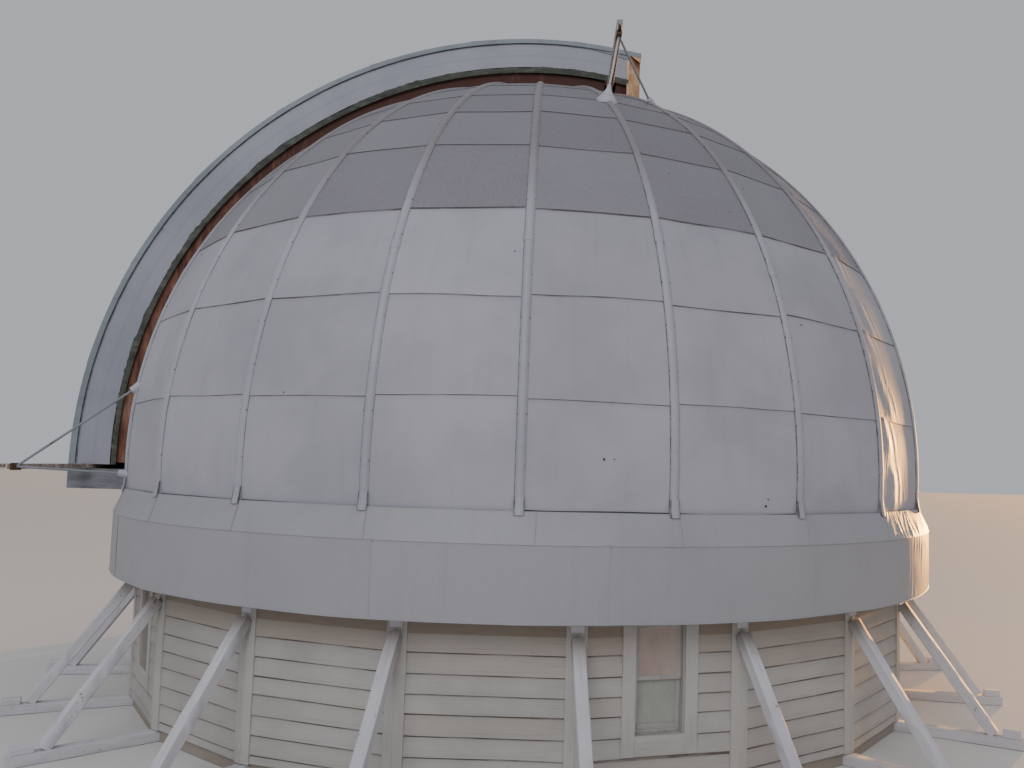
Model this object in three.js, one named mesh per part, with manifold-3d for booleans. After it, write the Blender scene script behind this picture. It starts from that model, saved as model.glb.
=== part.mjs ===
// Small research observatory dome: a turning 24-gore steel dome with a pair of sliding
// slit shutters, on a braced twenty-sided timber drum.
// Millimetres, +Z up. The origin is on the ground under the dome's centre, and the slit faces -X.
import * as THREE from 'three';
import { mergeVertices } from 'three/addons/utils/BufferGeometryUtils.js';
import Module from 'manifold-3d';

const wasm = await Module();
wasm.setup();

// Driving dimensions
const DOME_R = 4700;
const SPRING_Z = 2600;
const GORES = 24;
const SHELL_T = 60;
const RIB_HALF_W = 38;
const RIB_H = 24;
const RIB_SHOULDER_W = 21;
const RIB_SHOULDER_H = 19;
const CUTTER_DEPTH = 1600;
const GAP = 0.3;

// Dome shell, from the base seam up to beyond the slit's rear end
const BASE_LAT = -3.8;
const COURSE_LAT = 10.65;
const SEAM_LATS = [BASE_LAT, BASE_LAT + COURSE_LAT, BASE_LAT + 2 * COURSE_LAT,
  BASE_LAT + 3 * COURSE_LAT, BASE_LAT + 4 * COURSE_LAT, 47.1, 53.9, 61, 68, 75, 82];
const GORES_PER_SEGMENT = 4;

// Collar and skirt
const COLLAR_BOTTOM_Z = 2045;
const SKIRT_BOTTOM_Z = 1440;
const SKIRT_R = 4785;
const SKIRT_T = 40;
const RUNNER_INNER_R = 4400;
const RUNNER_TOP_Z = 2170;
const SKIRT_SEGMENTS = 4;
const STEPS_PER_GORE = 4;

// Slit, its curbs and its sill box
const SLIT_AZIMUTH = -90;
const SLIT_HALF = 1175;
const CURB_T = 40;
const CURB_IN_R = 4380;
const CURB_OUT_R = 4630;
const SILL_Z = SPRING_Z - 90;
const SILL_DROP = 280;
const SILL_OUT_X = -5262;
const SILL_OVERHANG = 60;
const SIDES = [['near', -1], ['far', 1]];

// Shutters
const SHUTTER_CENTRE_Z = SPRING_Z - 115;
const SHUTTER_OUT_R = 5256;
const SHUTTER_IN_R = 4800;
const SHUTTER_HALF = 1225;
const SHUTTER_REAR_X = 1180;
const SHUTTER_END_CLEAR = 30;
const SHUTTER_T = 30;
const SHUTTER_CHAMFER = 140;
const MEETING_HALF = 5;
const END_LOW_Z = SPRING_Z + 4000;
const OVER_TOP_DEG = 112;
const ARC_STEP = 4;
const DISC_SIDES = 96;

// Rails that carry the shutters, and their stands
const RAIL_HALF_LENGTH = 2820;
const TOP_RAIL_X = [780, 840];
const TOP_RAIL_Z = [SPRING_Z + 4495, SPRING_Z + 4600];
const SILL_RAIL_X = [-5130, -4990];
const SILL_RAIL_Z = [SILL_Z - 50, SILL_Z];
const STAND_Y = [2620, 2780];
const PLATE_T = 25;
const LEG_R = 12;
const WIDE_BOOT = { footR: 105, neckR: 22, height: 150 };
const SMALL_BOOT = { footR: 42, neckR: 36, height: 80 };
const BOOT_SUNK = 60;
const BOOT_SIDES = 16;
const TOP_FEET = [[15, 54.5, WIDE_BOOT], [30, 58.5, SMALL_BOOT]];
const SILL_FEET = [[-60, -2, SMALL_BOOT], [-60, 9, SMALL_BOOT]];
const SHOE_HALF_TOP = 75;
const SHOE_HALF_FOOT = 40;
const SHOE_TOP_Z = TOP_RAIL_Z[1] + 160;

// Timber drum
const BAYS = 20;
const WALL_R = 4512;
const WALL_T = 120;
const WALL_TURN = -29.88;
const BAYS_PER_WALL = 4;
const WALL_BOTTOM_Z = 120;
const WALL_TOP_Z = 2000;
const PLATE_TOP_Z = 2080;
const PLATE_IN_R = 4330;
const SILL_SETBACK = 40;
const BAY_FACE = WALL_R * Math.cos(Math.PI / BAYS);
const CORNER_BOARD_W = 80;
const CORNER_BOARD_Z = [WALL_BOTTOM_Z - 6, WALL_TOP_Z - 30];
const BOARD_JOINT = 1;
const TRIM_T = 25;

// Window in the third bay of each wall
const WINDOW_BAY = 2;
const CASING_HALF = 325;
const CASING_W = 110;
const CASING_BOTTOM_Z = 363;
const CASING_TOP_Z = 1500;
const STOOL_H = 160;
const OPENING_Z = [CASING_BOTTOM_Z + STOOL_H, CASING_TOP_Z - CASING_W];
const SASH_STILE = 60;
const SASH_RAIL = 65;
const SASH_SETBACK = 20;
const SASH_T = 45;
const PANE_T = 12;
const MEETING_RAIL_Z = [940, 980];

// Raking braces on ground sleepers, one at each corner of the drum
const BRACE_HALF_W = 50;
const BRACE_DEPTH = 100;
const BRACE_TOP_Z = 1300;
const BRACE_FOOT_R = 5430;
const BRACE_NOTCH = 20;
const SLEEPER_HALF_W = 60;
const SLEEPER_H = 100;
const SLEEPER_END_R = 5700;

// Colours
const WHITE_SHEET = new THREE.MeshStandardMaterial({ color: 0xb9bcc4, roughness: 0.55, metalness: 0.25 });
const SKIRT_SHEET = new THREE.MeshStandardMaterial({ color: 0xc3c5cb, roughness: 0.5, metalness: 0.25 });
const SHUTTER_SHEET = new THREE.MeshStandardMaterial({ color: 0xa9adb4, roughness: 0.5, metalness: 0.3 });
const FRAME_PAINT = new THREE.MeshStandardMaterial({ color: 0x8e9096, roughness: 0.6, metalness: 0.3 });
const RUSTY_STEEL = new THREE.MeshStandardMaterial({ color: 0x75604e, roughness: 0.8, metalness: 0.3 });
const WHITE_TIMBER = new THREE.MeshStandardMaterial({ color: 0xbfbdb8, roughness: 0.7, metalness: 0 });
const WORN_TIMBER = new THREE.MeshStandardMaterial({ color: 0xaaa69e, roughness: 0.8, metalness: 0 });
const SASH_PAINT = new THREE.MeshStandardMaterial({ color: 0x8a8580, roughness: 0.5, metalness: 0 });

const radians = THREE.MathUtils.degToRad;
const COLLAR_TOP = [
  DOME_R * Math.cos(radians(BASE_LAT)) + RIB_H,
  SPRING_Z + (DOME_R + RIB_H) * Math.sin(radians(BASE_LAT)) - GAP,
];
const dome = new THREE.Group();

function addMesh(name, geometry, material) {
  const mesh = new THREE.Mesh(geometry, material);
  mesh.name = name;
  dome.add(mesh);
  return mesh;
}

// Point at an azimuth measured from -Y towards +X
function polar(radius, azimuth, z) {
  const a = radians(azimuth);
  return new THREE.Vector3(radius * Math.sin(a), -radius * Math.cos(a), z);
}

function sideways(azimuth, distance) {
  const a = radians(azimuth);
  return new THREE.Vector3(distance * Math.cos(a), distance * Math.sin(a), 0);
}

// Closed solid through a row of rings that have the same number of points; flat() projects a cap
function loft(rings, flat) {
  const count = rings[0].length;
  const positions = [];
  for (const ring of rings) {
    for (const p of ring) {
      positions.push(p.x, p.y, p.z);
    }
  }
  const index = [];
  for (let r = 0; r < rings.length - 1; r += 1) {
    for (let i = 0; i < count; i += 1) {
      const j = (i + 1) % count;
      const a = r * count + i;
      const b = r * count + j;
      index.push(a, b, b + count, a, b + count, a + count);
    }
  }
  const capOf = (ring, base, flip) => {
    for (const [a, b, c] of THREE.ShapeUtils.triangulateShape(ring.map(flat), [])) {
      const forward = [base + a, base + b, base + c];
      index.push(...(flip ? forward.reverse() : forward));
    }
  };
  const outward = THREE.ShapeUtils.area(rings[0].map(flat)) > 0;
  capOf(rings[0], 0, outward);
  capOf(rings[rings.length - 1], (rings.length - 1) * count, !outward);
  const geometry = new THREE.BufferGeometry();
  geometry.setAttribute('position', new THREE.Float32BufferAttribute(positions, 3));
  geometry.setIndex(index);
  return facingOut(geometry);
}

// Turns every triangle round where the solid's signed volume is negative
function facingOut(geometry) {
  const p = geometry.getAttribute('position');
  const index = geometry.index.array;
  const [a, b, c] = [new THREE.Vector3(), new THREE.Vector3(), new THREE.Vector3()];
  let volume = 0;
  for (let i = 0; i < index.length; i += 3) {
    a.fromBufferAttribute(p, index[i]);
    b.fromBufferAttribute(p, index[i + 1]);
    c.fromBufferAttribute(p, index[i + 2]);
    volume += a.dot(b.cross(c));
  }
  if (volume < 0) {
    for (let i = 0; i < index.length; i += 3) {
      [index[i + 1], index[i + 2]] = [index[i + 2], index[i + 1]];
    }
  }
  return geometry;
}

// Conversion between mesh geometry and solids
function toSolid(geometry) {
  const bare = geometry.clone();
  bare.deleteAttribute('normal');
  bare.deleteAttribute('uv');
  const merged = mergeVertices(bare, 0.001);
  return new wasm.Manifold(new wasm.Mesh({
    numProp: 3,
    vertProperties: new Float32Array(merged.getAttribute('position').array),
    triVerts: new Uint32Array(merged.index.array),
  }));
}

function toGeometry(solid) {
  const mesh = solid.getMesh();
  const geometry = new THREE.BufferGeometry();
  geometry.setAttribute('position', new THREE.BufferAttribute(new Float32Array(mesh.vertProperties), 3));
  geometry.setIndex(new THREE.BufferAttribute(new Uint32Array(mesh.triVerts), 1));
  return geometry;
}

// Block between two corners
function block(low, high) {
  const size = [0, 1, 2].map((i) => high[i] - low[i]);
  const geometry = new THREE.BoxGeometry(...size);
  geometry.translate(...[0, 1, 2].map((i) => (low[i] + high[i]) / 2));
  return toSolid(geometry);
}

// Outline in the radial plane of an azimuth, given a half width across it
function radialPlate(outline, azimuth, halfWidth) {
  const rings = [-halfWidth, halfWidth].map((offset) => {
    const across = sideways(azimuth, offset);
    return outline.map(([r, z]) => polar(r, azimuth, z).add(across));
  });
  const a = radians(azimuth);
  return toSolid(loft(rings, (p) => new THREE.Vector2(p.x * Math.sin(a) - p.y * Math.cos(a), p.z)));
}

// Ring segment through the radial profile at each azimuth in turn
function ringSegment(profileAt, azimuths) {
  const last = azimuths.length - 1;
  const rings = azimuths.map((azimuth, i) => {
    const inset = i === 0 ? GAP / 2 : i === last ? -GAP / 2 : 0;
    return profileAt(azimuth).map(([r, z]) => polar(r, azimuth, z).add(sideways(azimuth, inset)));
  });
  return loft(rings, (p) => new THREE.Vector2(Math.hypot(p.x, p.y), p.z));
}

// Arc plate about a level axis along Y, between two radii, from -X up and over
function arcPlate(centreZ, innerR, outerR, fromDeg, toDeg, [y0, y1]) {
  const steps = Math.ceil((toDeg - fromDeg) / ARC_STEP);
  const rings = [];
  for (let i = 0; i <= steps; i += 1) {
    const a = radians(fromDeg + (toDeg - fromDeg) * i / steps);
    const at = (r, y) => new THREE.Vector3(-r * Math.cos(a), y, centreZ + r * Math.sin(a));
    rings.push([at(innerR, y0), at(outerR, y0), at(outerR, y1), at(innerR, y1)]);
  }
  const flat = (p) => new THREE.Vector2(Math.hypot(p.x, p.z - centreZ), p.y);
  return toSolid(loft(rings, flat));
}

// Latitudes of the shell's rows: each course is halved so that the meridian stays round
function shellLatitudes() {
  const rows = [];
  for (let i = 0; i < SEAM_LATS.length - 1; i += 1) {
    rows.push(SEAM_LATS[i], (SEAM_LATS[i] + SEAM_LATS[i + 1]) / 2);
  }
  rows.push(SEAM_LATS[SEAM_LATS.length - 1]);
  return rows;
}

// Shell of flat-faced gores between two rib azimuths, with half a standing rib at each end
function shellSegment(firstRib, goreCount, swell = 0, thickness = SHELL_T) {
  const pitch = 360 / GORES;
  const ring = (lat) => {
    const up = radians(lat);
    const at = (azimuth, offset, lift) => {
      const r = (DOME_R + lift) * Math.cos(up);
      const z = SPRING_Z + (DOME_R + lift) * Math.sin(up);
      return polar(r, azimuth, z).add(sideways(azimuth, offset));
    };
    const outer = [];
    for (let k = 0; k <= goreCount; k += 1) {
      const rib = firstRib + k * pitch;
      const droop = RIB_HALF_W * Math.tan(radians(pitch / 2));
      const half = [[RIB_HALF_W, -droop], [RIB_SHOULDER_W, RIB_SHOULDER_H]];
      const end = k === 0 ? GAP / 2 : k === goreCount ? -GAP / 2 : 0;
      if (k > 0) {
        outer.push(...half.map(([w, h]) => at(rib, -w, h + swell)));
      }
      outer.push(at(rib, end, RIB_H + swell));
      if (k < goreCount) {
        outer.push(...half.reverse().map(([w, h]) => at(rib, w, h + swell)));
      }
    }
    const inner = [];
    for (let k = goreCount; k >= 0; k -= 1) {
      const end = k === 0 ? GAP / 2 : k === goreCount ? -GAP / 2 : 0;
      inner.push(at(firstRib + k * pitch, end, -thickness));
    }
    return [...outer, ...inner];
  };
  return loft(shellLatitudes().map(ring), (p) => new THREE.Vector2(p.x, p.y));
}

// Round bar between two points
function bar(from, to, radius, endRadius = radius, sides = 10) {
  const span = new THREE.Vector3().subVectors(to, from);
  const geometry = new THREE.CylinderGeometry(endRadius, radius, span.length(), sides);
  geometry.translate(0, span.length() / 2, 0);
  const turn = new THREE.Quaternion();
  turn.setFromUnitVectors(new THREE.Vector3(0, 1, 0), span.clone().normalize());
  geometry.applyQuaternion(turn);
  geometry.translate(from.x, from.y, from.z);
  return toSolid(geometry);
}

function onShell(azimuth, lat, lift) {
  const up = radians(lat);
  return polar((DOME_R + lift) * Math.cos(up), azimuth, SPRING_Z + (DOME_R + lift) * Math.sin(up));
}

function sum(solids) {
  return solids.reduce((whole, next) => whole.add(next));
}

// Block in a drum bay's own frame: along the bay, outward from the dome's axis, and up
function bayBlock(azimuth, along, outward, up) {
  const geometry = new THREE.BoxGeometry(along[1] - along[0], outward[1] - outward[0], up[1] - up[0]);
  geometry.translate((along[0] + along[1]) / 2, -(outward[0] + outward[1]) / 2, (up[0] + up[1]) / 2);
  geometry.rotateZ(radians(azimuth));
  return toSolid(geometry);
}

// The two values of a span in rising order, on the near side (-Y) or the far side (+Y)
function sideSpan(sign, from, to) {
  return [sign * from, sign * to].sort((a, b) => a - b);
}

// Rail across the dome, optionally swollen to make room for it in what it touches
function railBlock(x, z, margin = 0) {
  const end = RAIL_HALF_LENGTH + margin;
  return block([x[0] - margin, -end, z[0] - margin], [x[1] + margin, end, z[1] + margin]);
}

// Dome shell: six segments of four gores, open at the slit and round the top rail
function addShell() {
  const slit = block([-2 * DOME_R, -SLIT_HALF, SILL_Z], [TOP_RAIL_X[1] + GAP, SLIT_HALF, 3 * DOME_R]);
  const railRoom = railBlock(TOP_RAIL_X, TOP_RAIL_Z, GAP);
  const width = GORES_PER_SEGMENT * 360 / GORES;
  for (let s = 0; s < GORES / GORES_PER_SEGMENT; s += 1) {
    const shell = toSolid(shellSegment(SLIT_AZIMUTH + s * width, GORES_PER_SEGMENT));
    addMesh(`dome_shell_${s + 1}`, toGeometry(shell.subtract(slit).subtract(railRoom)), WHITE_SHEET);
  }
}

// Share of a rib's radius that the flat-faced gores have at an azimuth
function goreShare(azimuth) {
  const pitch = 360 / GORES;
  const offMiddle = azimuth - SLIT_AZIMUTH - (Math.floor((azimuth - SLIT_AZIMUTH) / pitch) + 0.5) * pitch;
  return Math.cos(radians(pitch / 2)) / Math.cos(radians(offMiddle));
}

// Azimuths from one rib over a number of gores, in the steps of the round skirt
function skirtAzimuths(first, gores) {
  const step = 360 / GORES / STEPS_PER_GORE;
  return Array.from({ length: gores * STEPS_PER_GORE + 1 }, (_, i) => first + i * step);
}

// Collar, from the gores' flat faces out to the round skirt, with the runner on the drum's plate
function addSkirt() {
  const [topR, topZ] = COLLAR_TOP;
  const innerR = topR - RIB_H - SHELL_T;
  const profileAt = (azimuth) => [
    [SKIRT_R, SKIRT_BOTTOM_Z],
    [SKIRT_R, COLLAR_BOTTOM_Z],
    [topR * goreShare(azimuth), topZ],
    [innerR * goreShare(azimuth), topZ],
    [innerR * goreShare(azimuth), RUNNER_TOP_Z],
    [RUNNER_INNER_R, RUNNER_TOP_Z],
    [RUNNER_INNER_R, PLATE_TOP_Z + GAP],
    [SKIRT_R - SKIRT_T, PLATE_TOP_Z + GAP],
    [SKIRT_R - SKIRT_T, SKIRT_BOTTOM_Z],
  ];
  const gores = GORES / SKIRT_SEGMENTS;
  for (let s = 0; s < SKIRT_SEGMENTS; s += 1) {
    const azimuths = skirtAzimuths(SLIT_AZIMUTH + s * gores * 360 / GORES, gores);
    addMesh(`skirt_${s + 1}`, toGeometry(toSolid(ringSegment(profileAt, azimuths))), SKIRT_SHEET);
  }
}

// Curbs along both edges of the slit, ending against the top rail
function addCurbs() {
  const pastRail = block([TOP_RAIL_X[0] - GAP, -DOME_R, 0], [DOME_R, DOME_R, 3 * DOME_R]);
  for (const [side, sign] of SIDES) {
    const y = sideSpan(sign, SLIT_HALF - GAP, SLIT_HALF - CURB_T);
    const arc = arcPlate(SILL_Z + GAP, CURB_IN_R, CURB_OUT_R, 0, OVER_TOP_DEG, y);
    addMesh(`slit_curb_${side}`, toGeometry(arc.subtract(pastRail)), FRAME_PAINT);
  }
}

// Sill box cut to the dome's face, with the sill rail on top of it, and the top rail behind the slit
function addRails() {
  const half = SLIT_HALF + SILL_OVERHANG;
  const box = block([SILL_OUT_X, -half, SILL_Z - SILL_DROP], [-CURB_IN_R, half, SILL_RAIL_Z[0] - GAP]);
  const pitch = 360 / GORES;
  const core = toSolid(shellSegment(SLIT_AZIMUTH - 2 * pitch, GORES_PER_SEGMENT, GAP, CUTTER_DEPTH));
  const collarAt = (azimuth) => [
    [SKIRT_R + GAP, COLLAR_BOTTOM_Z],
    [(COLLAR_TOP[0] + GAP) * goreShare(azimuth), COLLAR_TOP[1] + GAP],
    [COLLAR_TOP[0] - CUTTER_DEPTH, SILL_Z],
    [COLLAR_TOP[0] - CUTTER_DEPTH, COLLAR_BOTTOM_Z],
  ];
  const collar = ringSegment(collarAt, skirtAzimuths(SLIT_AZIMUTH - 2 * pitch, GORES_PER_SEGMENT));
  const sill = box.subtract(core).subtract(toSolid(collar));
  addMesh('slit_sill', toGeometry(sill), SHUTTER_SHEET);
  addMesh('sill_rail', toGeometry(railBlock(SILL_RAIL_X, SILL_RAIL_Z)), RUSTY_STEEL);
  addMesh('top_rail', toGeometry(railBlock(TOP_RAIL_X, TOP_RAIL_Z)), RUSTY_STEEL);
}

// Two-legged stands that hold the rails' outer ends off the shell: a plate under the top rail,
// and one behind the sill rail
function addStands() {
  const [topX0, topX1] = TOP_RAIL_X;
  const topZ = TOP_RAIL_Z[0];
  const sillX = SILL_RAIL_X[1];
  const [sillZ0, sillZ1] = SILL_RAIL_Z;
  for (const [side, sign] of SIDES) {
    const [y0, y1] = sideSpan(sign, STAND_Y[0], STAND_Y[1]);
    const legY = (y0 + y1) / 2;
    const mirror = ([azimuth, ...rest]) => [sign < 0 ? azimuth : 180 - azimuth, ...rest];
    const topPlate = block([topX0, y0, topZ - PLATE_T], [topX1, y1, topZ]);
    const topHead = new THREE.Vector3((topX0 + topX1) / 2, legY, topZ - PLATE_T / 2);
    const topRoom = railBlock(TOP_RAIL_X, TOP_RAIL_Z, GAP);
    addStand(`top_rail_stand_${side}`, topPlate, topHead, TOP_FEET.map(mirror), topRoom);
    const sillPlate = block([sillX, y0, sillZ0 - LEG_R], [sillX + PLATE_T, y1, sillZ1 + LEG_R]);
    const sillHead = new THREE.Vector3(sillX + PLATE_T / 2, legY, (sillZ0 + sillZ1) / 2);
    const sillRoom = railBlock(SILL_RAIL_X, SILL_RAIL_Z, GAP);
    addStand(`sill_rail_stand_${side}`, sillPlate, sillHead, SILL_FEET.map(mirror), sillRoom);
  }
}

// One stand: legs from the plate's head down to the shell, each with a sheet boot round its foot
function addStand(name, plate, head, feet, railRoom) {
  const legs = feet.map(([azimuth, lat, boot]) => {
    const foot = onShell(azimuth, lat, 0);
    const along = new THREE.Vector3().subVectors(head, foot).normalize();
    const bootFoot = foot.clone().addScaledVector(along, -BOOT_SUNK);
    const bootTop = foot.clone().addScaledVector(along, boot.height);
    return bar(head, foot, LEG_R).add(bar(bootFoot, bootTop, boot.footR, boot.neckR, BOOT_SIDES));
  });
  const firstRib = Math.min(...feet.map(([azimuth]) => azimuth)) - 360 / GORES;
  const core = toSolid(shellSegment(firstRib, GORES_PER_SEGMENT, GAP, CUTTER_DEPTH));
  addMesh(name, toGeometry(sum([plate, ...legs]).subtract(core).subtract(railRoom)), FRAME_PAINT);
}

// Each shutter: an arched side wall with a shoe on the top rail, and a cover with its rear end wall
function addShutters() {
  const below = (z) => block([-2 * DOME_R, -DOME_R, 0], [0, DOME_R, z]);
  const beyond = (x) => block([x, -DOME_R, 0], [DOME_R, DOME_R, 3 * DOME_R]);
  const arch = (innerR, outerR, y) => (
    arcPlate(SHUTTER_CENTRE_Z, innerR, outerR, -ARC_STEP, OVER_TOP_DEG, y)
  );
  const coverIn = SHUTTER_OUT_R - SHUTTER_T;
  for (const [side, sign] of SIDES) {
    const wallY = sideSpan(sign, SHUTTER_HALF, SHUTTER_HALF - SHUTTER_T);
    const wall = arch(SHUTTER_IN_R - SHUTTER_T, coverIn - GAP, wallY)
      .subtract(levelDisc(SPRING_Z, SHUTTER_IN_R))
      .subtract(below(SILL_Z + GAP))
      .subtract(beyond(SHUTTER_REAR_X - SHUTTER_CHAMFER - GAP));
    addMesh(`shutter_${side}_side`, toGeometry(wall.add(shoe(wallY))), SHUTTER_SHEET);
    const cover = arch(coverIn, SHUTTER_OUT_R, sideSpan(sign, SHUTTER_HALF, MEETING_HALF))
      .subtract(below(SILL_RAIL_Z[0] + GAP))
      .subtract(beyond(SHUTTER_REAR_X));
    addMesh(`shutter_${side}_cover`, toGeometry(cover.add(shutterEnd(sign))), SHUTTER_SHEET);
  }
}

// Tapered shoe under the side wall's rear, standing on the top rail
function shoe(wallY) {
  const mid = (TOP_RAIL_X[0] + TOP_RAIL_X[1]) / 2;
  const outline = [
    [mid - SHOE_HALF_FOOT, TOP_RAIL_Z[1] + GAP],
    [mid + SHOE_HALF_FOOT, TOP_RAIL_Z[1] + GAP],
    [mid + SHOE_HALF_TOP, SHOE_TOP_Z],
    [mid - SHOE_HALF_TOP, SHOE_TOP_Z],
  ];
  const rings = wallY.map((y) => outline.map(([x, z]) => new THREE.Vector3(x, y, z)));
  return toSolid(loft(rings, (p) => new THREE.Vector2(p.x, p.z)));
}

// Cylinder with its axis along Y, as wide as both shutters and more
function levelDisc(centreZ, radius) {
  const disc = new THREE.CylinderGeometry(radius, radius, 4 * SHUTTER_HALF, DISC_SIDES);
  disc.translate(0, 0, centreZ);
  return toSolid(disc);
}

// Rear end wall, turned at its outer corner, under the cover and just above the shell
function shutterEnd(sign) {
  const outline = [
    [SHUTTER_REAR_X, MEETING_HALF],
    [SHUTTER_REAR_X, SHUTTER_HALF - SHUTTER_CHAMFER],
    [SHUTTER_REAR_X - SHUTTER_CHAMFER, SHUTTER_HALF],
    [SHUTTER_REAR_X - SHUTTER_CHAMFER, SHUTTER_HALF - 1.5 * SHUTTER_T],
    [SHUTTER_REAR_X - SHUTTER_T, SHUTTER_HALF - SHUTTER_CHAMFER - SHUTTER_T / 2],
    [SHUTTER_REAR_X - SHUTTER_T, MEETING_HALF],
  ];
  const ring = (z) => outline.map(([x, y]) => new THREE.Vector3(x, sign * y, z));
  const wall = toSolid(loft([ring(SPRING_Z), ring(2 * SHUTTER_OUT_R)], (p) => new THREE.Vector2(p.x, p.y)));
  const quarter = sign < 0 ? 0 : 90;
  const shell = toSolid(shellSegment(quarter, GORES / 4, SHUTTER_END_CLEAR, CUTTER_DEPTH));
  const lowPart = block([0, -DOME_R, 0], [DOME_R, DOME_R, END_LOW_Z]);
  const underCover = levelDisc(SHUTTER_CENTRE_Z, SHUTTER_OUT_R - SHUTTER_T / 2);
  return wall.intersect(underCover).subtract(shell).subtract(lowPart);
}

// Corner board folded round a drum corner, on one side of it or on both
function cornerBoard(cornerAzimuth, signs) {
  const halfTurn = 180 / BAYS;
  const halfBay = WALL_R * Math.sin(radians(halfTurn));
  const bayEdge = (sign) => (r, z) => {
    const bay = cornerAzimuth + sign * halfTurn;
    return polar(r, bay, z).add(sideways(bay, -sign * (halfBay - CORNER_BOARD_W)));
  };
  const inset = signs.length > 1 ? 0 : signs[0] * BOARD_JOINT;
  const foldR = 1 / Math.cos(radians(halfTurn));
  const fold = (r, z) => polar(r * foldR, cornerAzimuth, z).add(sideways(cornerAzimuth, inset));
  const before = signs.includes(-1) ? [bayEdge(-1)] : [];
  const after = signs.includes(1) ? [bayEdge(1)] : [];
  const edges = [...before, fold, ...after];
  const low = BAY_FACE - TRIM_T;
  const high = BAY_FACE + TRIM_T;
  const [bottom, top] = CORNER_BOARD_Z;
  const rings = edges.map((at) => [at(low, bottom), at(high, bottom), at(high, top), at(low, top)]);
  return toSolid(loft(rings, (p) => new THREE.Vector2(Math.hypot(p.x, p.y), p.z)));
}

// Drum wall: five walls of four bays, each with its sill on the ground, its plate and one window
function addWalls() {
  const profile = [
    [WALL_R, WALL_BOTTOM_Z],
    [WALL_R, PLATE_TOP_Z],
    [PLATE_IN_R, PLATE_TOP_Z],
    [PLATE_IN_R, WALL_TOP_Z],
    [WALL_R - WALL_T, WALL_TOP_Z],
    [WALL_R - WALL_T, WALL_BOTTOM_Z],
    [PLATE_IN_R, WALL_BOTTOM_Z],
    [PLATE_IN_R, 0],
    [WALL_R - SILL_SETBACK, 0],
    [WALL_R - SILL_SETBACK, WALL_BOTTOM_Z],
  ];
  const pitch = 360 / BAYS;
  for (let w = 0; w < BAYS / BAYS_PER_WALL; w += 1) {
    const first = WALL_TURN + w * BAYS_PER_WALL * pitch;
    const corners = Array.from({ length: BAYS_PER_WALL + 1 }, (_, i) => first + i * pitch);
    const boards = corners.map((corner, i) => {
      const signs = [-1, 1].filter((sign) => i + sign > -1 && i + sign < BAYS_PER_WALL + 1);
      return cornerBoard(corner, signs);
    });
    const bay = first + (WINDOW_BAY + 0.5) * pitch;
    const wall = sum([toSolid(ringSegment(() => profile, corners)), ...boards, casing(bay)]);
    addMesh(`drum_wall_${w + 1}`, toGeometry(wall.subtract(windowRoom(bay))), WHITE_TIMBER);
    addMesh(`window_sash_${w + 1}`, toGeometry(sash(bay)), SASH_PAINT);
  }
}

// Casing boards round a window, and the room cut through them and the wall
function casing(bay) {
  const outward = [BAY_FACE - TRIM_T, BAY_FACE + TRIM_T];
  return bayBlock(bay, [-CASING_HALF, CASING_HALF], outward, [CASING_BOTTOM_Z, CASING_TOP_Z]);
}

function windowRoom(bay) {
  const half = CASING_HALF - CASING_W;
  return bayBlock(bay, [-half, half], [BAY_FACE - 2 * WALL_T, BAY_FACE + WALL_T], OPENING_Z);
}

// Pair of sashes in one frame, with a thin pane in each light
function sash(bay) {
  const half = CASING_HALF - CASING_W - GAP;
  const out = BAY_FACE - SASH_SETBACK;
  const frame = bayBlock(bay, [-half, half], [out - SASH_T, out], [OPENING_Z[0] + GAP, OPENING_Z[1] - GAP]);
  const light = half - SASH_STILE;
  const lights = [
    [OPENING_Z[0] + SASH_RAIL, MEETING_RAIL_Z[0]],
    [MEETING_RAIL_Z[1], OPENING_Z[1] - SASH_RAIL],
  ];
  const paneMid = out - SASH_T / 2;
  const pockets = lights.flatMap((z) => [
    bayBlock(bay, [-light, light], [paneMid + PANE_T / 2, out + SASH_T], z),
    bayBlock(bay, [-light, light], [out - 2 * SASH_T, paneMid - PANE_T / 2], z),
  ]);
  return pockets.reduce((solid, pocket) => solid.subtract(pocket), frame);
}

// Raking braces: each stands on its own ground sleeper and meets a corner of the drum
function addBraces() {
  const innerR = WALL_R + TRIM_T / Math.cos(Math.PI / BAYS) + GAP;
  const span = new THREE.Vector2(BRACE_FOOT_R - innerR, SLEEPER_H - BRACE_TOP_Z);
  const slope = span.y / span.x;
  const rise = BRACE_DEPTH / 2 * Math.hypot(1, slope);
  const footZ = SLEEPER_H - BRACE_NOTCH;
  const alongTo = (z, offset) => BRACE_FOOT_R + (z - SLEEPER_H - offset) / slope;
  const brace = [
    [innerR, BRACE_TOP_Z - rise],
    [innerR, BRACE_TOP_Z + rise],
    [alongTo(footZ, rise), footZ],
    [alongTo(footZ, -rise), footZ],
  ];
  const sleeper = [
    [WALL_R - SILL_SETBACK + GAP, 0],
    [SLEEPER_END_R, 0],
    [SLEEPER_END_R, SLEEPER_H],
    [WALL_R - SILL_SETBACK + GAP, SLEEPER_H],
  ];
  for (let k = 0; k < BAYS; k += 1) {
    const azimuth = WALL_TURN + k * 360 / BAYS;
    const strut = radialPlate(brace, azimuth, BRACE_HALF_W);
    const solid = strut.add(radialPlate(sleeper, azimuth, SLEEPER_HALF_W));
    addMesh(`brace_${String(k + 1).padStart(2, '0')}`, toGeometry(solid), WORN_TIMBER);
  }
}

addShell();
addSkirt();
addCurbs();
addRails();
addStands();
addShutters();
addWalls();
addBraces();

export default dome;
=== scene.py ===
# %% [markdown]
# # A small observatory dome on a braced timber drum
#
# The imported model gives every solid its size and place. This lesson dresses it: lapped sheets and
# battens on the dome, sliding shutters with their flashings, clapboards and windows on the drum.
# All lengths are metres, +Z is up, and the slit faces -X. An azimuth is measured from -Y to +X.

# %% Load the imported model
import math

import bmesh
import bpy
import numpy as np
from mathutils import Matrix


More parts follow.
